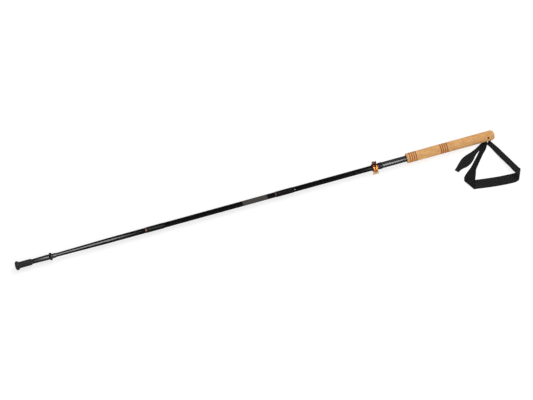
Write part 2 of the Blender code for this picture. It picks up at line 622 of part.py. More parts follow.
def handle(carrier, looks):
    """The handle tube, its black collar, the plug that anchors the strap, and the pin."""
    tube_end = PLUG_START - SEAT_GAP
    outer = tube("handle_tube", tube_end - TUBE_START, TUBE_RADIUS, TUBE_BORE)
    piece = add("handle_tube", outer, looks["carbon"], carrier, (TUBE_START, 0, 0))
    slit = block_mesh("tube_slit", (-PAST, -TUBE_RADIUS - PAST, -SLIT_WIDTH / 2),
                      (SLIT_LENGTH, TUBE_RADIUS + PAST, SLIT_WIDTH / 2),
                      Matrix.Rotation(math.radians(90 - SPLIT_ANGLE), 4, "X"))
    boolean(piece, slit)
    edge = CLAMP_COLLAR_BEVEL
    bore = TUBE_RADIUS + GLUE_GAP
    length = CLAMP_COLLAR_LENGTH
    collar = [(0, bore), (0, CLAMP_COLLAR_RADIUS - edge), (edge, CLAMP_COLLAR_RADIUS),
              (length - CLAMP_COLLAR_TAPER, CLAMP_COLLAR_RADIUS), (length, bore + CLAMP_COLLAR_LIP),
              (length, bore)]
    add("clamp_collar", turned("clamp_collar", collar), looks["plastic"], carrier,
        (CLAMP_COLLAR_START, 0, 0))
    plug_radius = GRIP_BORE - GLUE_GAP
    plug_mesh = turned("strap_plug", [(0, 0), (0, plug_radius), (PLUG_LENGTH, plug_radius),
                                      (PLUG_LENGTH, 0)])
    plug = add("strap_plug", plug_mesh, looks["plastic"], carrier, (PLUG_START, 0, 0))
    pin = PIN_X - PLUG_START
    boolean(plug, slot_mesh(pin))
    boolean(plug, scoop_mesh(pin))
    boolean(plug, pin_hole_mesh(pin))
    reach = PIN_DIRECTION * (GRIP_RADIUS - PIN_RECESS)
    add("strap_pin", cylinder_mesh("strap_pin", -reach, reach, PIN_RADIUS), looks["steel"], carrier,
        (PIN_X, 0, 0))


def split_frame():
    """The split's own directions: outward, and round the staff away from the camera."""
    outward = across(SPLIT_ANGLE, 1.0)
    onward = across(SPLIT_ANGLE + 90.0, 1.0)
    return outward, onward


def split_block(name, low, high):
    """A box given as (along the staff, outward, onward) from the staff's axis at the split."""
    outward, onward = split_frame()
    turn = Matrix((Vector((1, 0, 0)), outward, onward)).transposed().to_4x4()
    return block_mesh(name, low, high, turn)


def pivot_place():
    """The lever's pivot: on the screw's line, one cam radius and a gap before the near ear."""
    outward, onward = split_frame()
    back = SPLIT_WIDTH / 2 + EAR_THICKNESS + SEAT_GAP + CAM_RADIUS + CAM_OFFSET
    return Vector((CLAMP_MIDDLE, 0, 0)) + outward * SCREW_DISTANCE - onward * back


def clamp_ring(carrier, looks):
    """The split ring round the slit tube, with two ears for the tension screw."""
    half = RING_BAND_LENGTH / 2
    edge = RING_BAND_BEVEL
    profile = [(-half, RING_BORE), (-half, RING_OUTER - edge), (edge - half, RING_OUTER),
               (half - edge, RING_OUTER), (half, RING_OUTER - edge), (half, RING_BORE)]
    ring = add("clamp_ring", turned("clamp_ring", profile), looks["red"], carrier,
               (CLAMP_MIDDLE, 0, 0))
    ear = SPLIT_WIDTH / 2 + EAR_THICKNESS
    middle = (RING_BORE + RING_OUTER) / 2
    boolean(ring, split_block("ears", (-EAR_LENGTH / 2, middle, -ear), (EAR_LENGTH / 2, EAR_REACH, ear)),
            "UNION")
    boolean(ring, split_block("split", (-half - PAST, RING_BORE - PAST, -SPLIT_WIDTH / 2),
                              (half + PAST, EAR_REACH + PAST, SPLIT_WIDTH / 2)))
    outward, onward = split_frame()
    line = outward * SCREW_DISTANCE
    reach = onward * (ear + PAST)
    boolean(ring, cylinder_mesh("screw_hole", line - reach, line + reach, SCREW_RADIUS + SCREW_GAP))
    pivot = pivot_place()
    pin = cylinder_mesh("pivot_barrel", (-LEVER_LENGTH / 2, 0, 0), (LEVER_LENGTH / 2, 0, 0),
                        BARREL_PIN_RADIUS, SMALL_FACETS)
    barrel = add("pivot_barrel", pin, looks["steel"], carrier, pivot)
    reach = onward * (BARREL_PIN_RADIUS + PAST)
    boolean(barrel, cylinder_mesh("barrel_hole", -reach, reach, SCREW_RADIUS + SCREW_GAP))


def clamp_screw(carrier, looks):
    """The tension screw: a socket head behind the far ear, its shank through both into the barrel."""
    outward, onward = split_frame()
    seat = SPLIT_WIDTH / 2 + EAR_THICKNESS + SEAT_GAP
    head = seat + SCREW_HEAD_HEIGHT
    end = -seat - CAM_RADIUS - CAM_OFFSET - SCREW_PAST_PIVOT
    bevel = SCREW_HEAD_BEVEL
    socket = SCREW_SOCKET_RADIUS
    floor = head - SCREW_SOCKET_DEPTH
    profile = [(end, 0), (end, SCREW_RADIUS), (seat, SCREW_RADIUS), (seat, SCREW_HEAD_RADIUS),
               (head - bevel, SCREW_HEAD_RADIUS), (head, SCREW_HEAD_RADIUS - bevel),
               (head, socket), (floor, socket), (floor, 0)]
    mesh = turned("clamp_screw", profile, SMALL_FACETS)
    mesh.transform(onward.to_track_quat("X", "Z").to_matrix().to_4x4())
    place = Vector((CLAMP_MIDDLE, 0, 0)) + outward * SCREW_DISTANCE
    add("clamp_screw", mesh, looks["steel"], carrier, place)


def lever_section(degrees):
    """Inner and outer radius of the closed lever at an angle: it flares to a tab at its end."""
    run = (LEVER_TAB_START - degrees) / (LEVER_TAB_START - LEVER_END)
    lift = LEVER_FLARE * max(run, 0.0) ** 1.5
    return LEVER_INNER + lift, LEVER_OUTER + lift * 1.15


def lever_length(degrees):
    """The lever's length along the staff at an angle: broad prongs, a waist at the hole, a broad tab."""
    if degrees > LEVER_WAIST_ANGLE:
        run = min((degrees - LEVER_WAIST_ANGLE) / (LEVER_NOTCH_END + LEVER_PRONG - LEVER_WAIST_ANGLE), 1.0)
        broad = LEVER_LENGTH
    else:
        run = (LEVER_WAIST_ANGLE - degrees) / (LEVER_WAIST_ANGLE - LEVER_END)
        broad = LEVER_TAB_LENGTH
    return LEVER_WAIST + (broad - LEVER_WAIST) * run * run * (3 - 2 * run)


def clamp_lever(carrier, looks):
    """The forked lever: two prongs from the pivot, a V notch, one waisted arm, a hole and a flared tab."""
    pivot = pivot_place()
    work = bmesh.new()
    rings = []
    for degrees in np.linspace(LEVER_START, LEVER_END, LEVER_SECTIONS):
        inner, outer = lever_section(degrees)
        half = lever_length(degrees) / 2
        corners = [(-half, inner), (-half, outer), (half, outer), (half, inner)]
        spots = [across(degrees, radius, x + CLAMP_MIDDLE) - pivot for x, radius in corners]
        rings.append([work.verts.new(spot) for spot in spots])
    for ring, following in zip(rings, rings[1:]):
        for corner in range(4):
            other = (corner + 1) % 4
            work.faces.new((ring[corner], ring[other], following[other], following[corner]))
    work.faces.new(rings[0])
    work.faces.new(rings[-1])
    lever = add("clamp_lever", mesh_from(work, "clamp_lever"), looks["anodised"], carrier, pivot)

    # The cam boss, off the pivot's centre towards the ear, and its bore
    outward, onward = split_frame()
    shift = onward * CAM_OFFSET
    half = LEVER_LENGTH / 2
    boss = cylinder_mesh("cam", shift - Vector((half, 0, 0)), shift + Vector((half, 0, 0)),
                         CAM_RADIUS, FACETS)
    boolean(lever, boss, "UNION")
    boolean(lever, cylinder_mesh("cam_bore", (-half - PAST, 0, 0), (half + PAST, 0, 0),
                                 BARREL_PIN_RADIUS + SLIDE_GAP))
    boolean(lever, notch_mesh(pivot))
    inside = across(LEVER_HOLE_ANGLE, RING_OUTER, CLAMP_MIDDLE) - pivot
    outside = across(LEVER_HOLE_ANGLE, LEVER_OUTER + LEVER_FLARE + PAST, CLAMP_MIDDLE) - pivot
    boolean(lever, cylinder_mesh("lever_hole", inside, outside, LEVER_HOLE_RADIUS))


def notch_mesh(pivot):
    """A wedge that follows the ring: full width at the pivot, closing to a point down the arm."""
    work = bmesh.new()
    rings = []
    behind = [SPLIT_ANGLE + 8.0, LEVER_START + 6.0]
    inside = list(np.linspace(LEVER_START, LEVER_NOTCH_END, NOTCH_SECTIONS))
    low = TUBE_RADIUS + GLUE_GAP
    high = SCREW_DISTANCE + 2 * CAM_RADIUS + GLUE_GAP
    for degrees in behind + inside:
        run = min(max((degrees - LEVER_NOTCH_END) / (LEVER_START - LEVER_NOTCH_END), 0.02), 1.0)
        width = NOTCH_WIDTH / 2 * run ** 0.6
        corners = [(-width, low), (-width, high), (width, high), (width, low)]
        spots = [across(degrees, radius, x + CLAMP_MIDDLE) - pivot for x, radius in corners]
        rings.append([work.verts.new(spot) for spot in spots])
    for ring, following in zip(rings, rings[1:]):
        for corner in range(4):
            other = (corner + 1) % 4
            work.faces.new((ring[corner], ring[other], following[other], following[corner]))
    work.faces.new(rings[0])
    work.faces.new(rings[-1])
    return mesh_from(work, "lever_notch")


def flat_side(run, side):
    """The direction across a band that lies flat and runs along run."""
    return Vector((-run.y, run.x, 0)).normalized() * side


def at(x, y, z=0.0):
    """A place from the pin, in the route's own millimetres."""
    return Vector((x, y, z)) * ROUTE_UNIT


def lying(points, side):
    """Stations of a flat stretch: (x, y, height over the floor, width) from the pin, in mm."""
    low = Vector((0, 0, FLOOR + STRAP_THICKNESS / 2))
    spots = [at(x, y, height) + low for x, y, height, width in points]
    stations = []
    for index, spot in enumerate(spots):
        run = spots[min(index + 1, len(spots) - 1)] - spots[max(index - 1, 0)]
        stations.append((spot, flat_side(run, side), points[index][3] * ROUTE_UNIT))
    return stations


def rolled(corner, fold, outward, slip, bend, low, widths, rising, fan=0.0):
    """Stations of a band that rolls over a fold line, where its run turns in plan.
    slip is how far it runs along the line for each length that it rolls, and fan is the angle that
    the band's own cross-line turns by on the way, which opens the roll at one side."""
    stations = []
    for angle in np.radians(np.linspace(0, 180, 9)):
        turn = angle if rising else math.pi - angle
        along = slip * bend * (angle - math.pi / 2)
        height = low + bend * (1 - math.cos(turn))
        spot = corner + outward * (bend * math.sin(angle)) + fold * along + Vector((0, 0, height))
        side = Matrix.Rotation(math.radians(fan) * (angle / math.pi - 0.5), 3, "Z") @ fold
        stations.append((spot, side, widths[0] + (widths[1] - widths[0]) * angle / math.pi))
    return stations


def in_slot(x, depth, width=STRAP_SLOT_WIDTH):
    """A station in the slot, at a depth towards its mouth."""
    return (Vector((x, 0, 0)) + SLOT_DIRECTION * depth, -PIN_DIRECTION, width)


def strap_stations():
    """The band from its cut tail, round the pin, round the loop and back into the slot."""
    wrap = PIN_RADIUS + STRAP_LAYER_GAP + STRAP_THICKNESS / 2
    second = wrap + STRAP_THICKNESS + STRAP_LAYER_GAP
    floor_line = FLOOR + STRAP_THICKNESS / 2
    mouth = STRAP_SLOT_WIDTH
    stations = lying([(-112.8, -74.8, 0, 12.8), (-108.5, -71.8, 0, 13.6), (-103.5, -68, 0, 15.4),
                      (-97, -63.8, 0, 19.6), (-89.5, -60, 0, 25), (-81, -54.5, 0, 28.8),
                      (-71, -47.7, 0, 28.4), (-62.5, -41.7, 0, 24.4), (-54, -36.1, 0, 18.4),
                      (-46.9, -31.5, 0, 15), (-39.6, -27.1, 0, 12.6), (-28.2, -20.3, 0.1, 12.2),
                      (-17, -13.3, 0.4, 11.4)], 1)
    stations.append((at(-9.2, -10.2, -11.75), Vector((-0.40, 0.88, -0.18)), mouth * 1.06))
    stations.append((at(-4.8, -7.0, -9.8), Vector((-0.22, 0.87, -0.42)), mouth))
    stations += [in_slot(-wrap - 0.1 * ROUTE_UNIT, 8.0 * ROUTE_UNIT), in_slot(-wrap, 5.0 * ROUTE_UNIT),
                 in_slot(-wrap, 2.5 * ROUTE_UNIT)]
    for angle in np.radians(np.linspace(0, 180, 9)):
        stations.append(in_slot(-wrap * math.cos(angle), -wrap * math.sin(angle)))
    stations += [in_slot(wrap, 2.5 * ROUTE_UNIT), in_slot(wrap, 5.0 * ROUTE_UNIT),
                 in_slot(wrap + 0.1 * ROUTE_UNIT, 8.0 * ROUTE_UNIT)]
    stations.append((at(3.0, -7.2, -10.2), Vector((0.25, 0.87, -0.40)), mouth))
    stations.append((at(2.6, -11.7, -11.85), Vector((0.60, 0.79, -0.12)), mouth * 1.12))

    # The right strand rises towards the corner, where the band rolls over and under
    stations += lying([(3.1, -19.7, 0.5, 15), (6.6, -29.3, 1.1, 15.6), (11.7, -45.9, 2.4, 17.1),
                       (16.8, -63.5, 3.9, 17.7), (24.5, -90.5, 7.5, 18), (31.4, -116.5, 11.6, 18)], 1)
    fold = Vector((0.450, 0.893, 0))
    stations += rolled(at(32.7, -142.1), fold, Vector((fold.y, -fold.x, 0)), -0.695, CORNER_BEND,
                       floor_line, (19 * ROUTE_UNIT, 25 * ROUTE_UNIT), False, CORNER_FAN)
    stations += lying([(19.5, -146.1, 0, 28.5), (7.5, -145.3, 0, 31), (-10.5, -143.9, 0, 31),
                       (-35.5, -140.7, 0, 31.2), (-60.5, -136.7, 0, 31), (-80.5, -133.1, 0, 30.8)], -1)

    # The left corner is folded flat, and the last stretch lies over the tail's neck
    fold, outward, slip = fold_frame(Vector((-0.980, 0.190, 0)), Vector((0.520, 0.854, 0)), -1)
    stations += rolled(at(-96.3, -129.4), fold, outward, slip, (STRAP_THICKNESS + FOLD_GAP) / 2,
                       floor_line, (STRAP_WIDE, STRAP_WIDE), True)
    stations += lying([(-86.1, -106.7, 1.9, 29), (-77.4, -94.4, 1.1, 23.6), (-68.9, -82.7, 0.3, 16.8),
                       (-61.5, -74, 0, 15.1), (-54.8, -66.3, 0, 14.5), (-47.5, -57.9, 0.1, 13.8),
                       (-40.3, -49.8, 0.5, 13.3), (-31.5, -39.8, 1.6, 13.2), (-21.9, -28.2, 1.9, 12.8)], 1)
    stations.append((at(-12.8, -15.4, -10.2), Vector((-0.50, 0.82, -0.06)), mouth * 1.12))
    stations.append((at(-8.8, -9.3, -9.35), Vector((-0.36, 0.87, -0.24)), mouth * 1.02))
    stations.append((at(-5.9, -5.6, -8.0), Vector((-0.12, 0.88, -0.46)), mouth * 0.98))
    stations += [in_slot(-second - 0.2 * ROUTE_UNIT, 6.2 * ROUTE_UNIT, mouth * 0.98),
                 in_slot(-second, 4.0 * ROUTE_UNIT), in_slot(-second, 1.0 * ROUTE_UNIT)]
    return stations


def fold_frame(arriving, leaving, side):
    """The fold line between two runs in plan, the way the roll bulges, and the slip along it."""
    fold = (arriving + leaving).normalized()
    outward = (arriving - leaving).normalized()
    slip = arriving.dot(fold) / arriving.dot(outward)
    if fold.dot(flat_side(arriving, side)) < 0:
        return -fold, outward, -slip
    return fold, outward, slip


def smooth_stations(stations, step):
    """Stations no further apart than step, on cubic curves through the chosen ones."""
    chosen = np.array([[*spot, *side, width] for spot, side, width in stations])
    spans = np.linalg.norm(np.diff(chosen[:, :3], axis=0), axis=1)[:, None]
    slopes = np.diff(chosen, axis=0) / spans
    inner = (slopes[:-1] * spans[1:] + slopes[1:] * spans[:-1]) / (spans[1:] + spans[:-1])
    tangents = np.vstack([slopes[:1], inner, slopes[-1:]])
    made = []
    for index, span in enumerate(spans[:, 0]):
        for t in np.linspace(0, 1, max(math.ceil(span / step), 1), endpoint=False):
            start = (1 + 2 * t) * (1 - t) ** 2 * chosen[index] + t * (1 - t) ** 2 * span * tangents[index]
            end = t * t * (3 - 2 * t) * chosen[index + 1] + t * t * (t - 1) * span * tangents[index + 1]
            made.append(start + end)
    made.append(chosen[-1])
    lowest = FLOOR + STRAP_THICKNESS / 2
    return [(Vector((x, y, max(z, lowest))), Vector(side).normalized(), width)
            for x, y, z, *side, width in made]


def wrist_strap(carrier, looks):
    """One woven band with shaped width, swept along its stations, with a sewn seam in the slot."""
    stations = smooth_stations(strap_stations(), STRAP_STEP)
    work = bmesh.new()
    rings = []
    for index, (spot, side, width) in enumerate(stations):
        before = stations[max(index - 1, 0)][0]
        after = stations[min(index + 1, len(stations) - 1)][0]
        run = (after - before).normalized()
        face = run.cross(side).normalized() * STRAP_THICKNESS / 2
        reach = side * width / 2 / run.cross(side).length
        corners = [spot - reach - face, spot + reach - face, spot + reach + face, spot - reach + face]
        rings.append([work.verts.new(corner) for corner in corners])
    for ring, following in zip(rings, rings[1:]):
        for corner in range(4):
            other = (corner + 1) % 4
            work.faces.new((ring[corner], ring[other], following[other], following[corner]))
    work.faces.new(rings[0])
    work.faces.new(rings[-1])
    bmesh.ops.triangulate(work, faces=work.faces)
    strap = add("wrist_strap", mesh_from(work, "wrist_strap"), looks["webbing"], carrier,
                (PIN_X, 0, 0), 60.0)
    inner = PIN_RADIUS + STRAP_LAYER_GAP + STRAP_THICKNESS / 2
    outer = inner + STRAP_THICKNESS + STRAP_LAYER_GAP
    seam = block_mesh("strap_seam", (-outer, -SEAM_WIDTH / 2, -SEAM_DEPTH - SEAM_LENGTH),
                      (-inner, SEAM_WIDTH / 2, -SEAM_DEPTH), slot_turn())
    boolean(strap, seam, "UNION")


def build():
    clear_scene()
    looks = {
        "cork": material("cork", (0.68, 0.36, 0.13), 0.75),
        "carbon": material("carbon", (0.012, 0.012, 0.013), 0.35),
        "black": material("black_sleeve", (0.014, 0.014, 0.015), 0.45),
        "plastic": material("black_plastic", (0.020, 0.020, 0.021), 0.5),
        "rubber": material("rubber", (0.022, 0.022, 0.024), 0.85),
        "steel": material("steel", (0.55, 0.55, 0.56), 0.3, 1.0),
        "aluminium": material("aluminium", (0.70, 0.70, 0.72), 0.35, 1.0),
        "red": material("red_anodised", (0.30, 0.04, 0.02), 0.35, 0.9),
        "anodised": material("orange_anodised", (0.90, 0.22, 0.04), 0.3, 0.9),
        "cord": material("elastic_cord", (0.30, 0.30, 0.31), 0.8),
        "webbing": material("webbing", (0.016, 0.016, 0.017), 0.9),
    }
    handle_body = body("handle_body", GRIP_START)
    pivot = pivot_place()
    outward, onward = split_frame()
    lever_body = body("lever_hinge", *pivot)
    screw_body = body("screw_axis", *(Vector((CLAMP_MIDDLE, 0, 0)) + outward * SCREW_DISTANCE))
    upper_body = body("upper_slide", TUBE_START)
    button_body = body("button_slide", *across(BUTTON_ANGLE, SHAFT_RADIUS, BUTTON_X))
    middle_body = body("upper_joint_slide", UPPER_START)
    lower_body = body("lower_joint_slide", MIDDLE_START)
    foot_body = body("foot_slide", FOOT_LENGTH)
    foot(foot_body, looks)
    tip(lower_body, looks)
    cord_start = lower_section(lower_body, looks)
    middle_section(middle_body, looks)
    upper_section(upper_body, looks, cord_start)
    release_button(button_body, looks)
    grip(handle_body, looks)
    handle(handle_body, looks)
    clamp_ring(handle_body, looks)
    clamp_screw(screw_body, looks)
    clamp_lever(lever_body, looks)
    wrist_strap(handle_body, looks)


build()
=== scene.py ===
"""Looks of a folding wading staff that lies on a white floor, with its wrist strap beside the grip.

Units are metres. The staff lies along +X, the sole of its foot is at x = 0 and +Z is up.
"""
import math

import bmesh
import bpy
import numpy as np
from mathutils import Matrix, Vector


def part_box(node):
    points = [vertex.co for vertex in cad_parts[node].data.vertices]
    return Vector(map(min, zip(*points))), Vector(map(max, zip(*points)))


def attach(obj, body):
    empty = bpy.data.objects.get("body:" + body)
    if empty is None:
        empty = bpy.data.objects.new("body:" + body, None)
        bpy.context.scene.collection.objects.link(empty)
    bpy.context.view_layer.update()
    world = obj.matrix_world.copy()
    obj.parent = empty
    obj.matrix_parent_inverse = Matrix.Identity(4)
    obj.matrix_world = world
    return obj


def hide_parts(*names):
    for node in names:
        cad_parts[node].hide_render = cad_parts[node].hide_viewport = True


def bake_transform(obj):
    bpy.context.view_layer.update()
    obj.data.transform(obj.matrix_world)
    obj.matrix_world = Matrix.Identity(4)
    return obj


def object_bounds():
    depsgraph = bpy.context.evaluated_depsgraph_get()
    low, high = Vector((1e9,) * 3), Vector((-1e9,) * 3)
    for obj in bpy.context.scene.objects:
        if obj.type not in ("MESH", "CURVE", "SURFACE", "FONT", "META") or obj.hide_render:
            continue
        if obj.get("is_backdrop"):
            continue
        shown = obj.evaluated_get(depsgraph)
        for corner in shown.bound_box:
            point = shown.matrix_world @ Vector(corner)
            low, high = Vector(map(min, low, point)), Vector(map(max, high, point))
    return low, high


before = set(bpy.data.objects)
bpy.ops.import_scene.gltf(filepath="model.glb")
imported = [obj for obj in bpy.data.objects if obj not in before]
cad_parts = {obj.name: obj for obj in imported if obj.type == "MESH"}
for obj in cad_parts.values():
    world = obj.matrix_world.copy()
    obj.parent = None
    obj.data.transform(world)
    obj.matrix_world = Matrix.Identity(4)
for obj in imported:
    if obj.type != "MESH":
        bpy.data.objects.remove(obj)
cad_low, cad_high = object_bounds()

# Camera
# It stands at the foot's side of the staff and looks down on it from afar, so that the staff's
# two ends show at nearly one scale.
VIEW_TURN = -19.28       # degrees
VIEW_HEIGHT = 52.0       # degrees above the floor
LOOK_AT = (0.6999, 0.0005, -0.0134)
SEEN_WIDTH = 1.4085      # across the picture, at the point it looks at
LENS = 800.0             # millimetres
SENSOR = 36.0

turn, height = math.radians(VIEW_TURN), math.radians(VIEW_HEIGHT)
back = Vector((math.sin(turn) * math.cos(height), -math.cos(turn) * math.cos(height), math.sin(height)))
lens = bpy.data.cameras.new("camera")
lens.lens = LENS
lens.sensor_width = SENSOR
lens.clip_end = 100.0
camera = bpy.data.objects.new("camera", lens)
bpy.context.scene.collection.objects.link(camera)
camera.location = Vector(LOOK_AT) + back * (SEEN_WIDTH * LENS / SENSOR)
camera.rotation_mode = "QUATERNION"
camera.rotation_quaternion = (-back).to_track_quat("-Z", "Y")
bpy.context.scene.camera = camera
bpy.context.scene.view_settings.view_transform = "Standard"

# Floor and studio light
# A white sweep under a large soft lamp, two reflector strips that draw the highlights on the lower
# shaft and the handle tube, and an even room that dims overhead, where a studio's ceiling is dark.
FLOOR_SIZE = 24.0
FLOOR_WHITE = 0.80       # what the floor gives back to the staff
FLOOR_LIT = (0.46, 0.32)  # what the camera sees of its light and shadow, by the foot and by the grip
# The floor's glow for the camera; with FLOOR_LIT it paints the staff's shadow lighter towards the grip.
FLOOR_GLOW = (0.65, 0.76)
FLOOR_FADE = (0.6, 1.2)   # where one turns into the other, along the staff
ROOM_LIGHT = 0.50
ROOM_OVERHEAD = 0.03
OVERHEAD_FADE = (0.10, 0.60)  # the part of the sky's height where it dims
SOFT_LAMP = (2.6, 2.6)
SOFT_LAMP_PLACE = (3.1, 1.7, 3.5)
SOFT_LAMP_POWER = 75.0
FRONT_LAMP_PLACE = (0.4, -3.2, 2.4)
FRONT_LAMP_POWER = 52.0
LAMP_TARGET = (0.7, 0, 0)
# Each strip's name, place along the staff, size, tilt in degrees and radiance
STRIPS = (("lower_strip", 0.18, (0.26, 1.3), -8.0, 52.0), ("handle_strip", 1.05, (0.08, 1.4), 13.0, 28.0))
STRIP_DISTANCE = 1.2


def node(tree, kind, inputs=None, **settings):
    """A shader node with its settings, and its inputs set or linked by name."""
    made = tree.nodes.new(kind)
    for name, value in settings.items():
        setattr(made, name, value)
    for name, value in (inputs or {}).items():
        if isinstance(value, bpy.types.NodeSocket):
            tree.links.new(value, made.inputs[name])
        else:
            made.inputs[name].default_value = value
    return made


def combined(tree, operation, first, second):
    """One step of arithmetic on two values or sockets."""
    made = node(tree, "ShaderNodeMath", {0: first, 1: second}, operation=operation)
    return made.outputs[0]


def ranged(tree, value, low, high, to_low=0.0, to_high=1.0):
    """A value stretched from one range to another, and held within it."""
    made = node(tree, "ShaderNodeMapRange", {"Value": value, "From Min": low, "From Max": high,
                                             "To Min": to_low, "To Max": to_high})
    return made.outputs[0]


def shown_directly(tree):
    """1 for the rays that see a background: the camera's, and those off gloss and through glass."""
    path = node(tree, "ShaderNodeLightPath").outputs
    either = combined(tree, "MAXIMUM", path["Is Camera Ray"], path["Is Glossy Ray"])
    return combined(tree, "MAXIMUM", either, path["Is Transmission Ray"])


world = bpy.data.worlds.new("room")
world.use_nodes = True
bpy.context.scene.world = world
tree = world.node_tree
tree.nodes.clear()
height_seen = node(tree, "ShaderNodeSeparateXYZ",
                   {0: node(tree, "ShaderNodeTexCoord").outputs["Generated"]}).outputs["Z"]
dimmed = ranged(tree, height_seen, *OVERHEAD_FADE, 1.0, ROOM_OVERHEAD)
level = node(tree, "ShaderNodeMix", {0: shown_directly(tree), 2: ROOM_LIGHT, 3: dimmed},
             data_type="FLOAT").outputs[0]
room = node(tree, "ShaderNodeBackground", {"Color": (1, 1, 1, 1), "Strength": level})
node(tree, "ShaderNodeOutputWorld", {"Surface": room.outputs[0]})

reach = FLOOR_SIZE / 2
spots = [(-reach, -reach, cad_low.z), (reach, -reach, cad_low.z), (reach, reach, cad_low.z),
         (-reach, reach, cad_low.z)]
mesh = bpy.data.meshes.new("floor")
mesh.from_pydata(spots, [], [(0, 1, 2, 3)])
floor = bpy.data.objects.new("floor", mesh)
bpy.context.scene.collection.objects.link(floor)
paper = bpy.data.materials.new("white_paper_sweep")
paper.use_nodes = True
tree = paper.node_tree
tree.nodes.clear()
shown = shown_directly(tree)
place = node(tree, "ShaderNodeTexCoord").outputs["Object"]
along = node(tree, "ShaderNodeSeparateXYZ", {0: place}).outputs["X"]
lit, glowing = [ranged(tree, along, *FLOOR_FADE, *ends) for ends in (FLOOR_LIT, FLOOR_GLOW)]
shade = node(tree, "ShaderNodeMix", {0: shown, 2: FLOOR_WHITE, 3: lit}, data_type="FLOAT")
matt = node(tree, "ShaderNodeBsdfDiffuse", {"Color": shade.outputs[0]})
glow = node(tree, "ShaderNodeEmission", {"Strength": combined(tree, "MULTIPLY", shown, glowing)})
both = node(tree, "ShaderNodeAddShader", {0: matt.outputs[0], 1: glow.outputs[0]})
node(tree, "ShaderNodeOutputMaterial", {"Surface": both.outputs[0]})
mesh.materials.append(paper)
floor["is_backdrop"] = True


def lamp(name, size, power, place, target):
    """A rectangular lamp that faces a point, with its first side as near along the staff as it can."""
    light = bpy.data.lights.new(name, "AREA")
    light.shape = "RECTANGLE"
    light.size, light.size_y = size
    light.energy = power
    piece = bpy.data.objects.new(name, light)
    bpy.context.scene.collection.objects.link(piece)
    facing = (Vector(place) - Vector(target)).normalized()
    upright = facing.cross(Vector((1, 0, 0))).normalized()
    axes = Matrix((upright.cross(facing), upright, facing)).transposed().to_4x4()
    piece.matrix_world = Matrix.Translation(place) @ axes
    piece.visible_camera = False
    return piece


lamp("soft_lamp", SOFT_LAMP, SOFT_LAMP_POWER, SOFT_LAMP_PLACE, LAMP_TARGET)
lamp("front_lamp", SOFT_LAMP, FRONT_LAMP_POWER, FRONT_LAMP_PLACE, LAMP_TARGET).visible_glossy = False
for name, place, size, tilt, radiance in STRIPS:
    lit = Vector((place, 0, 0))
    mirrored = (camera.location - lit).normalized()
    mirrored.x = -mirrored.x
    mirrored = Matrix.Rotation(math.radians(tilt), 3, "X") @ mirrored
    strip = lamp(name, size, radiance * math.pi * size[0] * size[1], lit + mirrored * STRIP_DISTANCE, lit)
    strip.visible_diffuse = False

# Rubber foot
# A pull-off foot moulded in black rubber, with a flange at the sole, a ribbed barrel to grip it by
# and a bore that holds on the tip's stem by friction.
AROUND = 96
foot_low, foot_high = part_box("rubber_foot")
FLANGE_LENGTH = 0.0125
FLANGE_RIM = 0.0078      # where the rim ends and its taper to the barrel starts
BARREL_RADIUS = 0.0086
SHOULDER = 0.0042
FOOT_END_RADIUS = 0.00645
FOOT_BORE = 0.00545
FOOT_BORE_FLOOR = 0.0075
SOLE_DOME = 0.0022
SOLE_RINGS = (0.0032, 0.0066, 0.0088)
SOLE_GROOVE_DEPTH = 0.0009
SOLE_GROOVE_MOUTH = 0.0006  # half its width
SOLE_GROOVE_FLOOR = 0.0004
RIBS = 5
RIB_MARGIN = 0.0030
RIB_GROOVE = 0.0016
RIB_DEPTH = 0.00035
KNURLS = 40
KNURL_DEPTH = 0.00014


def curved(corners, steps=6):
    """A profile with rounded corners, from (x, radius, cut) points. Each corner is cut back by its own
    distance along both its sides, and a quadratic curve runs between the two cuts."""
    spots = np.array(corners, float)
    points, cuts = spots[:, :2], spots[:, 2:]
    behind = np.diff(points, axis=0, prepend=points[:1])
    ahead = np.diff(points, axis=0, append=points[-1:])
    behind /= np.maximum(np.linalg.norm(behind, axis=1, keepdims=True), 1e-9)
    ahead /= np.maximum(np.linalg.norm(ahead, axis=1, keepdims=True), 1e-9)
    share = np.linspace(0, 1, steps)[None, :, None]
    curve = ((1 - share) ** 2 * (points - behind * cuts)[:, None]
             + 2 * share * (1 - share) * points[:, None]
             + share ** 2 * (points + ahead * cuts)[:, None]).reshape(-1, 2)
    apart = np.linalg.norm(np.diff(curve, axis=0), axis=1) > 2e-6
    return curve[np.r_[True, apart]]


def filled_in(profile, step):
    """The same profile with more points on its straight stretches, none further apart than step."""
    gaps = np.diff(profile, axis=0)
    counts = np.ceil(np.linalg.norm(gaps, axis=1) / step).astype(int)
    order = np.arange(counts.sum()) - np.repeat(np.cumsum(counts) - counts, counts)
    share = order / np.repeat(counts, counts)
    inside = np.repeat(profile[:-1], counts, axis=0) + np.repeat(gaps, counts, axis=0) * share[:, None]
    return np.vstack([inside, profile[-1:]])


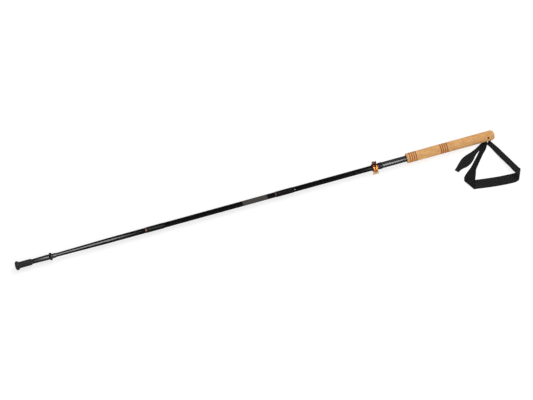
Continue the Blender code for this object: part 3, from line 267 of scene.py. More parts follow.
def surface(name, *patches, sharp=40.0):
    """One closed mesh from patches of (grid of points, grid of UVs). Neighbours in a grid are joined by
    quads, points that fall together are merged, and the faces are turned outward."""
    spots, corners, uvs = [], [], []
    start = 0
    for grid, uv in patches:
        rows, columns = grid.shape[:2]
        index = np.arange(rows * columns).reshape(rows, columns)
        quads = np.stack([index[:-1, :-1], index[:-1, 1:], index[1:, 1:], index[1:, :-1]], axis=2)
        quads = quads.reshape(-1, 4)
        spots.append(grid.reshape(-1, 3))
        corners.append(quads + start)
        uvs.append(uv.reshape(-1, 2)[quads.ravel()])
        start += rows * columns
    mesh = bpy.data.meshes.new(name)
    mesh.from_pydata(np.vstack(spots).tolist(), [], np.vstack(corners).tolist())
    mesh.uv_layers.new(name="UVMap").data.foreach_set("uv", np.vstack(uvs).ravel())
    work = bmesh.new()
    work.from_mesh(mesh)
    bmesh.ops.remove_doubles(work, verts=work.verts, dist=1e-6)
    bmesh.ops.recalc_face_normals(work, faces=work.faces)
    work.to_mesh(mesh)
    work.free()
    mesh.shade_smooth()
    mesh.set_sharp_from_angle(angle=math.radians(sharp))
    piece = bpy.data.objects.new(name, mesh)
    bpy.context.scene.collection.objects.link(piece)
    return piece


def turned(name, profile, around=AROUND, relief=None):
    """A turned piece: point (i, j) is (x_i, -r_i cos a_j, r_i sin a_j), where a_j goes once round and
    relief(x, a) is added to the radius. A profile that doesn't start on the axis closes on itself.
    UVs are the share of a turn and the length along the profile."""
    if profile[0, 1] > 0:
        profile = np.vstack([profile, profile[:1]])
    x, radius = profile[:, :1], profile[:, 1:]
    angle = np.linspace(0, math.tau, around + 1)[None, :]
    if relief is not None:
        radius = radius + relief(x, angle) * (radius > 0)
    grid = np.stack(np.broadcast_arrays(x, -radius * np.cos(angle), radius * np.sin(angle)), axis=2)
    run = np.r_[0, np.cumsum(np.linalg.norm(np.diff(profile, axis=0), axis=1))][:, None]
    uv = np.stack(np.broadcast_arrays(angle / math.tau, run), axis=2)
    return surface(name, (grid, uv))


def finish(name, **values):
    """A new material, its node tree, its shader with plain values set on the sockets, and the place on
    the staff that its patterns are drawn from."""
    made = bpy.data.materials.new(name)
    made.use_nodes = True
    shader = made.node_tree.nodes["Principled BSDF"]
    for key, value in values.items():
        shader.inputs[key.replace("_", " ")].default_value = value
    place = node(made.node_tree, "ShaderNodeTexCoord").outputs["Object"]
    return made, made.node_tree, shader, place


def blended(tree, share, low, high):
    """A colour between two, by a share from 0 to 1. Each is three values or the socket that gives it."""
    low, high = [colour if isinstance(colour, bpy.types.NodeSocket) else (*colour, 1)
                 for colour in (low, high)]
    return node(tree, "ShaderNodeMix", {0: share, 6: low, 7: high}, data_type="RGBA").outputs[2]


def noise(tree, where, scale, detail=3.0, roughness=0.5):
    """The grey value of a cloudy noise."""
    made = node(tree, "ShaderNodeTexNoise", {"Vector": where, "Scale": scale, "Detail": detail,
                                             "Roughness": roughness})
    return made.outputs["Fac"]


def raised(tree, shader, height, distance, strength=1.0):
    """A bump from a height, in metres of relief, on the shader."""
    made = node(tree, "ShaderNodeBump", {"Height": height, "Distance": distance, "Strength": strength})
    tree.links.new(made.outputs[0], shader.inputs["Normal"])


rubber, tree, shader, place = finish("moulded_rubber", Specular_IOR_Level=0.10)
mottle = noise(tree, place, 260.0, 5.0, 0.6)
along = node(tree, "ShaderNodeSeparateXYZ", {0: place}).outputs["X"]
dusty = combined(tree, "MULTIPLY", ranged(tree, along, 0.0060, 0.0),
                 ranged(tree, noise(tree, place, 700.0, 6.0, 0.7), 0.42, 0.62))
dark = blended(tree, ranged(tree, mottle, 0.35, 0.65), (0.0065, 0.0065, 0.0072), (0.0125, 0.0125, 0.0132))
worn = blended(tree, dusty, dark, (0.075, 0.070, 0.064))
tree.links.new(worn, shader.inputs["Base Color"])
tree.links.new(ranged(tree, mottle, 0.3, 0.7, 0.62, 0.80), shader.inputs["Roughness"])
raised(tree, shader, noise(tree, place, 2600.0, 3.0, 0.6), 0.00006, 0.8)

barrel_end = foot_high.x - SHOULDER
ribs_start = FLANGE_LENGTH + RIB_MARGIN
rib_pitch = (barrel_end - ribs_start) / RIBS
corners = [(foot_low.x, 0, 0)]
for ring in SOLE_RINGS:
    depth = SOLE_DOME * (ring / foot_high.z) ** 2
    floor_depth = depth + SOLE_GROOVE_DEPTH
    corners += [(depth, ring - SOLE_GROOVE_MOUTH, 0.0001), (floor_depth, ring - SOLE_GROOVE_FLOOR, 0.0001),
                (floor_depth, ring + SOLE_GROOVE_FLOOR, 0.0001), (depth, ring + SOLE_GROOVE_MOUTH, 0.0001)]
corners += [(SOLE_DOME, foot_high.z, 0.0028), (FLANGE_RIM, foot_high.z, 0.0009),
            (FLANGE_RIM + 0.0014, foot_high.z - 0.0008, 0.0006), (FLANGE_RIM + 0.0016, BARREL_RADIUS, 0.0024)]
for rib in range(RIBS):
    start = ribs_start + rib * rib_pitch
    corners += [(start, BARREL_RADIUS, 0.0003), (start + RIB_GROOVE * 0.3, BARREL_RADIUS - RIB_DEPTH, 0.0002),
                (start + RIB_GROOVE * 0.7, BARREL_RADIUS - RIB_DEPTH, 0.0002),
                (start + RIB_GROOVE, BARREL_RADIUS, 0.0003)]
corners += [(barrel_end, BARREL_RADIUS, 0.0012), (foot_high.x, FOOT_END_RADIUS + 0.0002, 0.0004),
            (foot_high.x, FOOT_BORE, 0.0001), (FOOT_BORE_FLOOR, FOOT_BORE, 0), (FOOT_BORE_FLOOR, 0, 0)]


def knurled(x, angle):
    """Fine lengthwise knurls on the barrel's lands: a cosine round it, faded at the barrel's ends."""
    inside = np.clip((x - FLANGE_LENGTH - 0.0012) / 0.0010, 0, 1) * np.clip((barrel_end - x) / 0.0010, 0, 1)
    return -KNURL_DEPTH * inside * (0.5 + 0.5 * np.cos(angle * KNURLS))


foot = turned("moulded_foot", filled_in(curved(corners), 0.0008), KNURLS * 6, knurled)
foot.data.materials.append(rubber)
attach(foot, "foot")
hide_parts("rubber_foot")

# Metal tip and washer
# The hardened steel point that walks on rock once the foot is off, pressed in the tip's stem, and
# the steel washer moulded in the foot where the point would wear through it.
tip_low, tip_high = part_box("metal_tip")
TIP_NOSE = 0.0016
TIP_NOSE_LENGTH = 0.0018


def stretched(tree, place, scale):
    """The place with its three parts scaled, which draws a pattern out along the part scaled least."""
    return node(tree, "ShaderNodeMapping", {"Vector": place, "Scale": scale}).outputs[0]


def worked(name, stretch, grain, colours, dullness, relief, **values):
    """A finish with the fine marks of its making: a noise, stretched across the tool's path, tints it
    between two colours, varies its roughness and raises it. The grain is the noise's scale, detail
    and roughness, and the relief is its height and strength."""
    made, tree, shader, place = finish(name, **values)
    marks = noise(tree, stretched(tree, place, stretch), *grain)
    tree.links.new(blended(tree, marks, *colours), shader.inputs["Base Color"])
    tree.links.new(ranged(tree, marks, 0.3, 0.7, *dullness), shader.inputs["Roughness"])
    raised(tree, shader, marks, *relief)
    return made


steel = worked("ground_steel", (1.0, 6.0, 6.0), (900.0, 4.0, 0.7), ((0.42, 0.42, 0.43), (0.60, 0.60, 0.61)),
               (0.24, 0.40), (0.00001, 0.6), Metallic=1.0)

nose = [(tip_low.x, 0, 0), (tip_low.x, TIP_NOSE, 0.0003),
        (tip_low.x + TIP_NOSE_LENGTH, tip_high.z, 0.0005), (tip_high.x - 0.0003, tip_high.z, 0.0001),
        (tip_high.x, tip_high.z - 0.0003, 0.0001), (tip_high.x, 0, 0)]
point = turned("steel_point", curved(nose), 48)
point.data.materials.append(steel)
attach(point, "lower_section")
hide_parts("metal_tip")
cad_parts["foot_washer"].material_slots[0].material = steel

# Tip cone and stop disc
# Black glass-filled nylon, moulded in two halves of a tool, so that a fine parting line runs down
# each side. The cone is bonded to the shaft, and the disc with its collar sits above it.
cone_low, cone_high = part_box("tip_cone")
disc_low, disc_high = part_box("stop_disc")
CONE_START = 0.0473
STEM_RADIUS = 0.0052
STEM_BORE = 0.0031
CONE_FOOT_RADIUS = 0.00645
SHAFT_SOCKET = 0.0053
SOCKET_DEPTH = 0.0340
PARTING_RISE = 0.00012
PARTING_SHARPNESS = 900.0
HUB_RADIUS = 0.0064
DISC_START = 0.0948
DISC_THICKNESS = 0.0068
DISC_EDGE = 0.0028       # rounding of its rim
DISC_ROOT = 0.0072

nylon, tree, shader, place = finish("moulded_nylon", Specular_IOR_Level=0.05, Coat_Weight=0.045,
                                    Coat_Roughness=0.18, Coat_IOR=1.9)
flow = noise(tree, stretched(tree, place, (0.35, 1.0, 1.0)), 420.0, 6.0, 0.65)
tree.links.new(blended(tree, ranged(tree, flow, 0.35, 0.70), (0.0095, 0.0095, 0.0105), (0.017, 0.017, 0.018)),
               shader.inputs["Base Color"])
tree.links.new(ranged(tree, flow, 0.3, 0.7, 0.36, 0.52), shader.inputs["Roughness"])
raised(tree, shader, noise(tree, place, 3400.0, 2.0), 0.00003, 0.6)


def parting_line(x, angle):
    """A fine ridge at both sides of the tool's split, at angles 0 and pi: a narrow bell of cos^2."""
    return PARTING_RISE * np.exp(-PARTING_SHARPNESS * np.sin(angle) ** 2) * np.ones_like(x)


stem_bore_end = tip_high.x + 0.0001
corners = [(stem_bore_end, 0, 0), (stem_bore_end, STEM_BORE, 0), (cone_low.x, STEM_BORE, 0.0001),
           (cone_low.x, STEM_RADIUS - 0.0008, 0.0002), (cone_low.x + 0.0008, STEM_RADIUS, 0.0003),
           (CONE_START, STEM_RADIUS, 0.0002), (CONE_START, CONE_FOOT_RADIUS, 0.0005),
           (cone_high.x, cone_high.z, 0.0006), (cone_high.x, SHAFT_SOCKET, 0.0001),
           (cone_high.x - SOCKET_DEPTH, SHAFT_SOCKET, 0), (cone_high.x - SOCKET_DEPTH, 0, 0)]
on_cone = (CONE_START + 0.0002, cone_high.x - 0.0003)
cone = turned("moulded_cone", curved(corners), 144,
              lambda x, angle: parting_line(x, angle) * (x > on_cone[0]) * (x < on_cone[1]))
disc_end = DISC_START + DISC_THICKNESS
corners = [(disc_low.x, SHAFT_SOCKET, 0.0001), (disc_low.x, HUB_RADIUS, 0.0003),
           (DISC_START, DISC_ROOT, 0.0005), (DISC_START, disc_high.z, DISC_EDGE),
           (disc_end, disc_high.z, DISC_EDGE), (disc_end, DISC_ROOT, 0.0003),
           (disc_end + 0.0008, HUB_RADIUS, 0.0005), (disc_high.x - 0.0004, HUB_RADIUS, 0.0003),
           (disc_high.x, HUB_RADIUS - 0.0004, 0.0002), (disc_high.x, SHAFT_SOCKET, 0.0001)]
disc = turned("moulded_disc", curved(corners), 144, lambda x, angle: parting_line(x, angle) * (x > disc_end))
for piece, stood_for in ((cone, "tip_cone"), (disc, "stop_disc")):
    piece.data.materials.append(nylon)
    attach(piece, "lower_section")
    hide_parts(stood_for)

# Carbon shafts
# Three tubes of woven carbon cloth in epoxy under a clear satin lacquer. The lower one tapers
# towards the tip. The middle one has a plain grey woven band where the cloth shows through.
WALL = 0.0010
CUT_PAST = 0.003         # how far a cutting shape reaches past the wall that it cuts
TOWS_AROUND = 32
TOW_LENGTH = 0.00140
BAND_START = 0.6320
BAND_END = 0.7010
BAND_EDGE = 0.0006
BAND_COLOUR = (0.052, 0.049, 0.043)
BAND_LIGHT = (0.094, 0.089, 0.080)
SHAFT_DARK = (0.0032, 0.0032, 0.0036)
SHAFT_TOW = (0.0080, 0.0080, 0.0086)


def twill(tree):
    """Two-over-two twill from a tube's UVs: whole tows are counted round and along, and a crossing
    shows the lengthwise tow where the two counts' sum, divided by four, leaves less than two."""
    uv = node(tree, "ShaderNodeSeparateXYZ", {0: node(tree, "ShaderNodeUVMap").outputs[0]}).outputs
    across = combined(tree, "MULTIPLY", uv["X"], float(TOWS_AROUND))
    along = combined(tree, "DIVIDE", uv["Y"], TOW_LENGTH)
    steps = combined(tree, "ADD", combined(tree, "FLOOR", across, 0.0), combined(tree, "FLOOR", along, 0.0))
    lengthwise = combined(tree, "LESS_THAN", combined(tree, "MODULO", steps, 4.0), 2.0)
    crowns = [combined(tree, "PINGPONG", count, 0.5) for count in (across, along)]
    crown = node(tree, "ShaderNodeMix", {0: lengthwise, 2: crowns[1], 3: crowns[0]}, data_type="FLOAT")
    return lengthwise, crown.outputs[0]


carbon, tree, shader, place = finish("lacquered_carbon", Specular_IOR_Level=0.0, Coat_Weight=0.05,
                                     Coat_Roughness=0.10, Coat_IOR=1.9)
lengthwise, crown = twill(tree)
tow = combined(tree, "MULTIPLY", ranged(tree, crown, 0.0, 0.45, 0.35, 1.0),
               ranged(tree, lengthwise, 0, 1, 0.45, 1.0))
tone = combined(tree, "MULTIPLY", tow, ranged(tree, noise(tree, place, 300.0, 4.0), 0.3, 0.7, 0.6, 1.1))
plain = blended(tree, tone, SHAFT_DARK, SHAFT_TOW)
woven = blended(tree, tone, BAND_COLOUR, BAND_LIGHT)
along = node(tree, "ShaderNodeSeparateXYZ", {0: place}).outputs["X"]
inside = combined(tree, "MULTIPLY", ranged(tree, along, BAND_START - BAND_EDGE, BAND_START + BAND_EDGE),
                  ranged(tree, along, BAND_END + BAND_EDGE, BAND_END - BAND_EDGE))
tree.links.new(blended(tree, inside, plain, woven), shader.inputs["Base Color"])
tree.links.new(ranged(tree, tone, 0.2, 1.0, 0.34, 0.24), shader.inputs["Roughness"])
raised(tree, shader, crown, 0.00002, 0.3)

lower_low, lower_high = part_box("lower_shaft")
middle_low, middle_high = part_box("middle_shaft")
upper_low, upper_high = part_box("upper_shaft")
COLLAR_END = disc_high.x
TAPER_LENGTH = 0.1440
TAPER_END = COLLAR_END + TAPER_LENGTH
TIP_SHAFT_RADIUS = 0.0052
TUBE_STEP = 0.0120
shaft_radius = lower_high.z
bore = shaft_radius - WALL
corners = [(lower_low.x, TIP_SHAFT_RADIUS - WALL, 0), (lower_low.x, TIP_SHAFT_RADIUS, 0.0001),
           (COLLAR_END, TIP_SHAFT_RADIUS, 0.0030), (TAPER_END, shaft_radius, 0.0200),
           (lower_high.x, shaft_radius, 0.0002), (lower_high.x, bore, 0.0001), (TAPER_END, bore, 0),
           (COLLAR_END, TIP_SHAFT_RADIUS - WALL, 0)]
lower_shaft = turned("carbon_lower_shaft", filled_in(curved(corners), TUBE_STEP))


def plain_tube(name, start, end, radius, inner, edge=0.0002):
    """A tube along the staff, with both its outer edges rounded."""
    corners = [(start, inner, 0), (start, radius, edge), (end, radius, edge), (end, inner, 0)]
    return turned(name, filled_in(curved(corners), TUBE_STEP))


def round_staff(degrees, radius, x=0.0):
    """A point at an angle round the staff: 0 is the camera's side and 90 is up."""
    angle = math.radians(degrees)
    return Vector((x, -radius * math.cos(angle), radius * math.sin(angle)))


def carved(piece, other, operation="DIFFERENCE"):
    """Cut a shape out of a piece, or join it on. The result stays in the piece, the shape goes."""
    step = piece.modifiers.new("carve", "BOOLEAN")
    step.operation = operation
    step.solver = "EXACT"
    step.object = other
    bpy.context.view_layer.update()
    made = bpy.data.meshes.new_from_object(piece.evaluated_get(bpy.context.evaluated_depsgraph_get()))
    piece.modifiers.clear()
    piece.data = made
    made.set_sharp_from_angle(angle=math.radians(40))
    bpy.data.objects.remove(other)


def rod(name, start, end, radius, edge=0.0, around=48):
    """A round bar between two points, turned along X and then laid along its own line."""
    start, end = Vector(start), Vector(end)
    length = (end - start).length
    corners = [(0, 0, 0), (0, radius, edge), (length, radius, edge), (length, 0, 0)]
    piece = turned(name, curved(corners), around)
    along = (end - start).to_track_quat("X", "Z").to_matrix().to_4x4()
    piece.data.transform(Matrix.Translation(start) @ along)
    return piece


BUTTON_ANGLE = 50.0
BUTTON_RADIUS = 0.0020
BUTTON_GAP = 0.00025
button_low, button_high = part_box("release_button")
BUTTON_X = (button_low.x + button_high.x) / 2
middle_shaft = plain_tube("carbon_middle_shaft", middle_low.x, middle_high.x, shaft_radius, bore)
upper_shaft = plain_tube("carbon_upper_shaft", upper_low.x, upper_high.x, shaft_radius, bore)
carved(upper_shaft, rod("button_hole", round_staff(BUTTON_ANGLE, bore - CUT_PAST, BUTTON_X),
                        round_staff(BUTTON_ANGLE, shaft_radius + CUT_PAST, BUTTON_X),
                        BUTTON_RADIUS + BUTTON_GAP))
for piece, stood_for, body in ((lower_shaft, "lower_shaft", "lower_section"),
                               (middle_shaft, "middle_shaft", "middle_section"),
                               (upper_shaft, "upper_shaft", "upper_section")):
    piece.data.materials.append(carbon)
    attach(piece, body)
    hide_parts(stood_for)

# Spigots of the two joints
# Turned aluminium tubes, anodised grey, bonded in the top of one shaft. They slide in the next shaft,
# and a chamfer leads them in.
SPIGOT_WALL = 0.0023
SPIGOT_LEAD = 0.0012

aluminium = worked("turned_aluminium", (40.0, 1.0, 1.0), (120.0, 4.0, 0.7),
                   ((0.07, 0.07, 0.075), (0.13, 0.13, 0.135)), (0.42, 0.56), (0.00001, 0.7), Metallic=1.0)

for stood_for, body in (("lower_spigot", "lower_section"), ("upper_spigot", "middle_section")):
    low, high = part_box(stood_for)
    inner = high.z - SPIGOT_WALL
    corners = [(low.x, inner, 0.0001), (low.x, high.z, 0.0003), (high.x - SPIGOT_LEAD, high.z, 0.0004),
               (high.x, high.z - SPIGOT_LEAD / 2, 0.0003), (high.x, inner, 0.0002)]
    spigot = turned("turned_" + stood_for, filled_in(curved(corners), 0.0080))
    spigot.data.materials.append(aluminium)
    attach(spigot, body)
    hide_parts(stood_for)

# Joint rings and joint sleeves
# Thin aluminium rings, anodised dark red, close the top of a shaft. The sleeve above each ring is a
# satin black tube, bonded over the next shaft's end.
RING_BORE = 0.0059
SLEEVE_BORE = 0.0071

red = worked("dark_red_anodising", (30.0, 1.0, 1.0), (160.0, 3.0, 0.6),
             ((0.052, 0.020, 0.014), (0.080, 0.030, 0.020)), (0.28, 0.42), (0.00001, 0.5), Metallic=0.85)
satin = worked("satin_black_sleeve", (18.0, 1.0, 1.0), (200.0, 3.0, 0.6),
               ((0.0040, 0.0040, 0.0044), (0.0075, 0.0075, 0.0080)), (0.34, 0.46), (0.000015, 0.5),
               Specular_IOR_Level=0.03)

for stood_for, body in (("lower_joint_ring", "lower_section"), ("upper_joint_ring", "middle_section")):
    low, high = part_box(stood_for)
    corners = [(low.x, RING_BORE, 0), (low.x, high.z, 0.0004), (high.x, high.z, 0.0004),
               (high.x, RING_BORE, 0)]
    ring = turned("anodised_" + stood_for, curved(corners))
    ring.data.materials.append(red)
    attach(ring, body)
    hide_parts(stood_for)
for stood_for, body in (("lower_joint_sleeve", "middle_section"), ("tension_sleeve", "upper_section")):
    low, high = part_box(stood_for)
    sleeve = plain_tube("satin_" + stood_for, low.x, high.x, high.z, SLEEVE_BORE, 0.0004)
    sleeve.data.materials.append(satin)
    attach(sleeve, body)
    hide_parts(stood_for)

# Tension cord, its end plugs and the shaft's top bush
# A braided elastic cord runs through the joints. It is knotted behind one nylon plug at each end,
# and a nylon bush caps the upper shaft, where it slides in the handle tube.
cord_cover, tree, shader, place = finish("braided_cord_cover", Roughness=0.85)
diamonds = [node(tree, "ShaderNodeTexWave", {"Vector": place, "Scale": 160.0, "Distortion": 0.6},
                 bands_direction=way).outputs["Fac"] for way in ("DIAGONAL", "X")]
braid = combined(tree, "MULTIPLY", *diamonds)
tree.links.new(blended(tree, braid, (0.10, 0.10, 0.11), (0.34, 0.34, 0.35)), shader.inputs["Base Color"])
raised(tree, shader, braid, 0.0002, 0.7)
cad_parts["tension_cord"].material_slots[0].material = cord_cover
for name in ("cord_anchor_bottom", "cord_anchor_top", "shaft_top_bush", "strap_plug"):
    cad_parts[name].material_slots[0].material = nylon

# Release button and its clip
# A domed button of blackened steel comes through the upper shaft's wall. A steel strip, bent to a U,
# lies under it in the bore: its lower leg rests on the wall and its upper leg springs the button out.
BUTTON_TOP = 0.0080
BUTTON_FLANGE_RADIUS = 0.0026
BUTTON_SEAT = 0.00507
BUTTON_FLANGE = 0.0007
blackened = worked("blackened_steel", (1.0, 1.0, 1.0), (1800.0, 4.0, 0.7),
                   ((0.045, 0.045, 0.047), (0.085, 0.085, 0.088)), (0.32, 0.46), (0.00001, 0.5), Metallic=0.9)

corners = [(BUTTON_SEAT - BUTTON_FLANGE, 0, 0), (BUTTON_SEAT - BUTTON_FLANGE, BUTTON_FLANGE_RADIUS, 0.0001),
           (BUTTON_SEAT, BUTTON_FLANGE_RADIUS, 0.0001), (BUTTON_SEAT, BUTTON_RADIUS, 0.0001),
           (BUTTON_TOP - 0.0004, BUTTON_RADIUS, 0.0004), (BUTTON_TOP, BUTTON_RADIUS * 0.45, 0.0006),
           (BUTTON_TOP, 0, 0)]
button = turned("domed_button", curved(corners), 48)
button.data.transform(Matrix.Translation((BUTTON_X, 0, 0))
                      @ round_staff(BUTTON_ANGLE, 1.0).to_track_quat("X", "Z").to_matrix().to_4x4())
button.data.materials.append(blackened)
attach(button, "button")
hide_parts("release_button")

CLIP_LENGTH = 0.0300
CLIP_OVERHANG = 0.0010
CLIP_WIDTH = 0.0054
CLIP_THICKNESS = 0.0005
CLIP_GAP = 0.0003        # under the button's flange
WALL_GAP = 0.0001
CLIP_EDGE = 0.0001
CORD_PASSAGE = 0.00155
clip_upper = BUTTON_SEAT - BUTTON_FLANGE - CLIP_GAP - CLIP_THICKNESS / 2
clip_lower = -math.sqrt((bore - WALL_GAP) ** 2 - (CLIP_WIDTH / 2) ** 2) + CLIP_THICKNESS / 2


def bent_strip(name):
    """A strip bent to a U: its middle line is two legs and a half circle between them, and its section,
    a rectangle with cut corners, stands square to that line. Each end closes on its middle."""
    bend = (clip_upper - clip_lower) / 2
    start = -BUTTON_RADIUS - CLIP_OVERHANG
    sweep = np.linspace(math.pi / 2, -math.pi / 2, 25)
    middle = (clip_upper + clip_lower) / 2
    line = np.column_stack([np.r_[start, CLIP_LENGTH - bend + bend * np.cos(sweep), start],
                            np.r_[clip_upper, middle + bend * np.sin(sweep), clip_lower]])
    run = np.gradient(line, axis=0)
    run /= np.linalg.norm(run, axis=1, keepdims=True)
    half, wide, cut = CLIP_THICKNESS / 2, CLIP_WIDTH / 2, CLIP_EDGE
    section = np.array([(half, wide - cut), (half - cut, wide), (cut - half, wide), (-half, wide - cut),
                        (-half, cut - wide), (cut - half, -wide), (half - cut, -wide), (half, cut - wide),
                        (half, wide - cut)])
    thick, across = section[None, :, 0], section[None, :, 1]
    grid = np.stack(np.broadcast_arrays(line[:, :1] - run[:, 1:] * thick, across,
                                        line[:, 1:] + run[:, :1] * thick), axis=2)
    ends = np.repeat(grid[[0, -1], :-1].mean(axis=1, keepdims=True), len(section), axis=1)
    grid = np.concatenate([ends[:1], grid, ends[1:]])
    piece = surface(name, (grid, np.zeros((*grid.shape[:2], 2))))
    carved(piece, rod("cord_passage", (CLIP_LENGTH - bend, 0, 0), (CLIP_LENGTH + CUT_PAST, 0, 0),
                      CORD_PASSAGE))
    turn = Matrix.Rotation(math.radians(90 - BUTTON_ANGLE), 4, "X")
    piece.data.transform(Matrix.Translation((BUTTON_X, 0, 0)) @ turn)
    return piece


clip = bent_strip("bent_spring_clip")
clip.data.materials.append(steel)
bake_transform(clip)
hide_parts("button_clip")

# Handle tube and its collar
# A carbon tube that the upper shaft slides in, slit at its lower end so that the clamp can close it.
# A moulded black collar shows where the clamp ends.
tube_low, tube_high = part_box("handle_tube")
collar_low, collar_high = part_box("clamp_collar")
TUBE_RADIUS = tube_high.z
TUBE_BORE = 0.00725
SLIT_WIDTH = 0.0012
SLIT_LENGTH = 0.0210
SPLIT_ANGLE = 137.0
GLUE_GAP = 0.0001

glossy, tree, shader, place = finish("glossy_handle_tube", Specular_IOR_Level=0.0, Coat_Weight=0.16,
                                     Coat_Roughness=0.12, Coat_IOR=1.9)
_, crown = twill(tree)
tone = combined(tree, "MULTIPLY", ranged(tree, crown, 0.0, 0.45, 0.3, 1.0),
                ranged(tree, noise(tree, place, 300.0, 4.0), 0.3, 0.7, 0.6, 1.1))
tree.links.new(blended(tree, tone, (0.0045, 0.0048, 0.0056), (0.0100, 0.0106, 0.0118)),
               shader.inputs["Base Color"])
tree.links.new(ranged(tree, tone, 0.2, 1.0, 0.36, 0.26), shader.inputs["Roughness"])
raised(tree, shader, crown, 0.00002, 0.3)


def bar(name, low, high, turn):
    """A square bar between two corners, turned about the origin: its six faces as one band of four
    and two ends that draw in to a point."""
    low, high = np.array(low, float), np.array(high, float)
    y = np.array([low[1], high[1], high[1], low[1], low[1]])
    z = np.array([low[2], low[2], high[2], high[2], low[2]])
    _, middle_y, middle_z = (low + high) / 2
    rows = [np.column_stack([np.full(5, x), middle_y + (y - middle_y) * size,
                             middle_z + (z - middle_z) * size])
            for x, size in ((low[0], 0.0), (low[0], 1.0), (high[0], 1.0), (high[0], 0.0))]
    piece = surface(name, (np.stack(rows), np.zeros((4, 5, 2))))
    piece.data.transform(turn)
    return piece


handle_tube = plain_tube("carbon_handle_tube", tube_low.x, tube_high.x, TUBE_RADIUS, TUBE_BORE)
slit = bar("slit", (tube_low.x - CUT_PAST, -TUBE_RADIUS - CUT_PAST, -SLIT_WIDTH / 2),
           (tube_low.x + SLIT_LENGTH, TUBE_RADIUS + CUT_PAST, SLIT_WIDTH / 2),
           Matrix.Rotation(math.radians(90 - SPLIT_ANGLE), 4, "X"))
carved(handle_tube, slit)
handle_tube.data.materials.append(glossy)
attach(handle_tube, "handle")
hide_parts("handle_tube")

collar_bore = TUBE_RADIUS + GLUE_GAP
corners = [(collar_low.x, collar_bore, 0), (collar_low.x, collar_high.z, 0.0007),
           (collar_high.x - 0.0016, collar_high.z, 0.0008), (collar_high.x, collar_bore + 0.0003, 0.0001),
           (collar_high.x, collar_bore, 0)]
collar = turned("moulded_collar", curved(corners))
collar.data.materials.append(nylon)
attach(collar, "handle")
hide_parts("clamp_collar")

# Clamp ring, tension screw and cross barrel
# A split ring of dark red anodised aluminium round the slit tube, with two ears. A blackened socket
# screw goes through both ears into a cross barrel, the lever's pivot, which is anodised like the lever
# and painted dark as shade like its prongs.
ring_low, ring_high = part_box("clamp_ring")
CLAMP_MIDDLE = (ring_low.x + ring_high.x) / 2
RING_LENGTH = ring_high.x - ring_low.x
RING_WALL = 0.0020
CLAMP_BORE = TUBE_RADIUS + GLUE_GAP
CLAMP_OUTER = CLAMP_BORE + RING_WALL
SPLIT_WIDTH = 0.0024
EAR_THICKNESS = 0.0030
EAR_REACH = 0.0160
EAR_LENGTH = 0.0056
SCREW_DISTANCE = 0.0133
SCREW_RADIUS = 0.0013
SCREW_HEAD_RADIUS = 0.0026
SCREW_HEAD_HEIGHT = 0.0022
KEY_RADIUS = 0.001265    # of the head's six-sided socket, to its corners
KEY_DEPTH = 0.0014
SCREW_GAP = 0.00015
SCREW_SEAT_GAP = 0.0003
SCREW_PAST_PIVOT = 0.0015
CAM_RADIUS = 0.0033
CAM_OFFSET = 0.0003
CAM_BORE_GAP = 0.00025
PIVOT_RADIUS = 0.0021

# Own dark red, partly painted shade: darker and duller than the joint rings, as the ring lies in the lever's
# shade.
dull_red = worked("dull_red_anodising", (1.0, 1.0, 1.0), (900.0, 4.0, 0.6),
                  ((0.040, 0.012, 0.008), (0.066, 0.020, 0.013)), (0.46, 0.60), (0.00001, 0.5),
                  Metallic=0.50, Specular_IOR_Level=0.06)

outward, onward = round_staff(SPLIT_ANGLE, 1.0), round_staff(SPLIT_ANGLE + 90, 1.0)
at_split = Matrix((Vector((1, 0, 0)), outward, onward)).transposed().to_4x4()
ear = SPLIT_WIDTH / 2 + EAR_THICKNESS


def plate(name, outline, low, high, edge):
    """A plate from an outline in two directions, between two heights in the third: its rim is the
    outline, drawn in by the edge's rounding at both faces, and each face closes on its centre."""
    ring = np.vstack([outline, outline[:1]])
    centre = outline.mean(axis=0)
    size = np.abs(outline - centre).max()
    rows = []
    for level, inset in ((low, size), (low, edge), (low + edge * 0.3, edge * 0.3), (low + edge, 0),
                         (high - edge, 0), (high - edge * 0.3, edge * 0.3), (high, edge), (high, size)):
        drawn = centre + (ring - centre) * (1 - inset / size)
        rows.append(np.column_stack([drawn, np.full(len(ring), level)]))
    return surface(name, (np.stack(rows), np.zeros((8, len(ring), 2))))


corners = [(-RING_LENGTH / 2, CLAMP_BORE, 0), (-RING_LENGTH / 2, CLAMP_OUTER, 0.0005),
           (RING_LENGTH / 2, CLAMP_OUTER, 0.0005), (RING_LENGTH / 2, CLAMP_BORE, 0)]
clamp_ring = turned("anodised_clamp_ring", curved(corners))
half = EAR_LENGTH / 2
sweep = np.linspace(-math.pi / 2, math.pi / 2, 17)
ear_root = (CLAMP_BORE + CLAMP_OUTER) / 2
rounded = np.column_stack([np.sin(sweep) * half, EAR_REACH - half + np.cos(sweep) * half])
outline = np.vstack([rounded, [(half, ear_root), (-half, ear_root)]])
ears = plate("ears", outline, -ear, ear, 0.0004)
ears.data.transform(at_split)
carved(clamp_ring, ears, "UNION")
carved(clamp_ring, bar("split", (-RING_LENGTH, CLAMP_BORE - CUT_PAST, -SPLIT_WIDTH / 2),
                       (RING_LENGTH, EAR_REACH + CUT_PAST, SPLIT_WIDTH / 2), at_split))
line = outward * SCREW_DISTANCE
through = onward * (ear + CUT_PAST)
carved(clamp_ring, rod("screw_hole", line - through, line + through, SCREW_RADIUS + SCREW_GAP))
clamp_ring.data.transform(Matrix.Translation((CLAMP_MIDDLE, 0, 0)))
clamp_ring.data.materials.append(dull_red)
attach(clamp_ring, "handle")
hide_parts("clamp_ring")

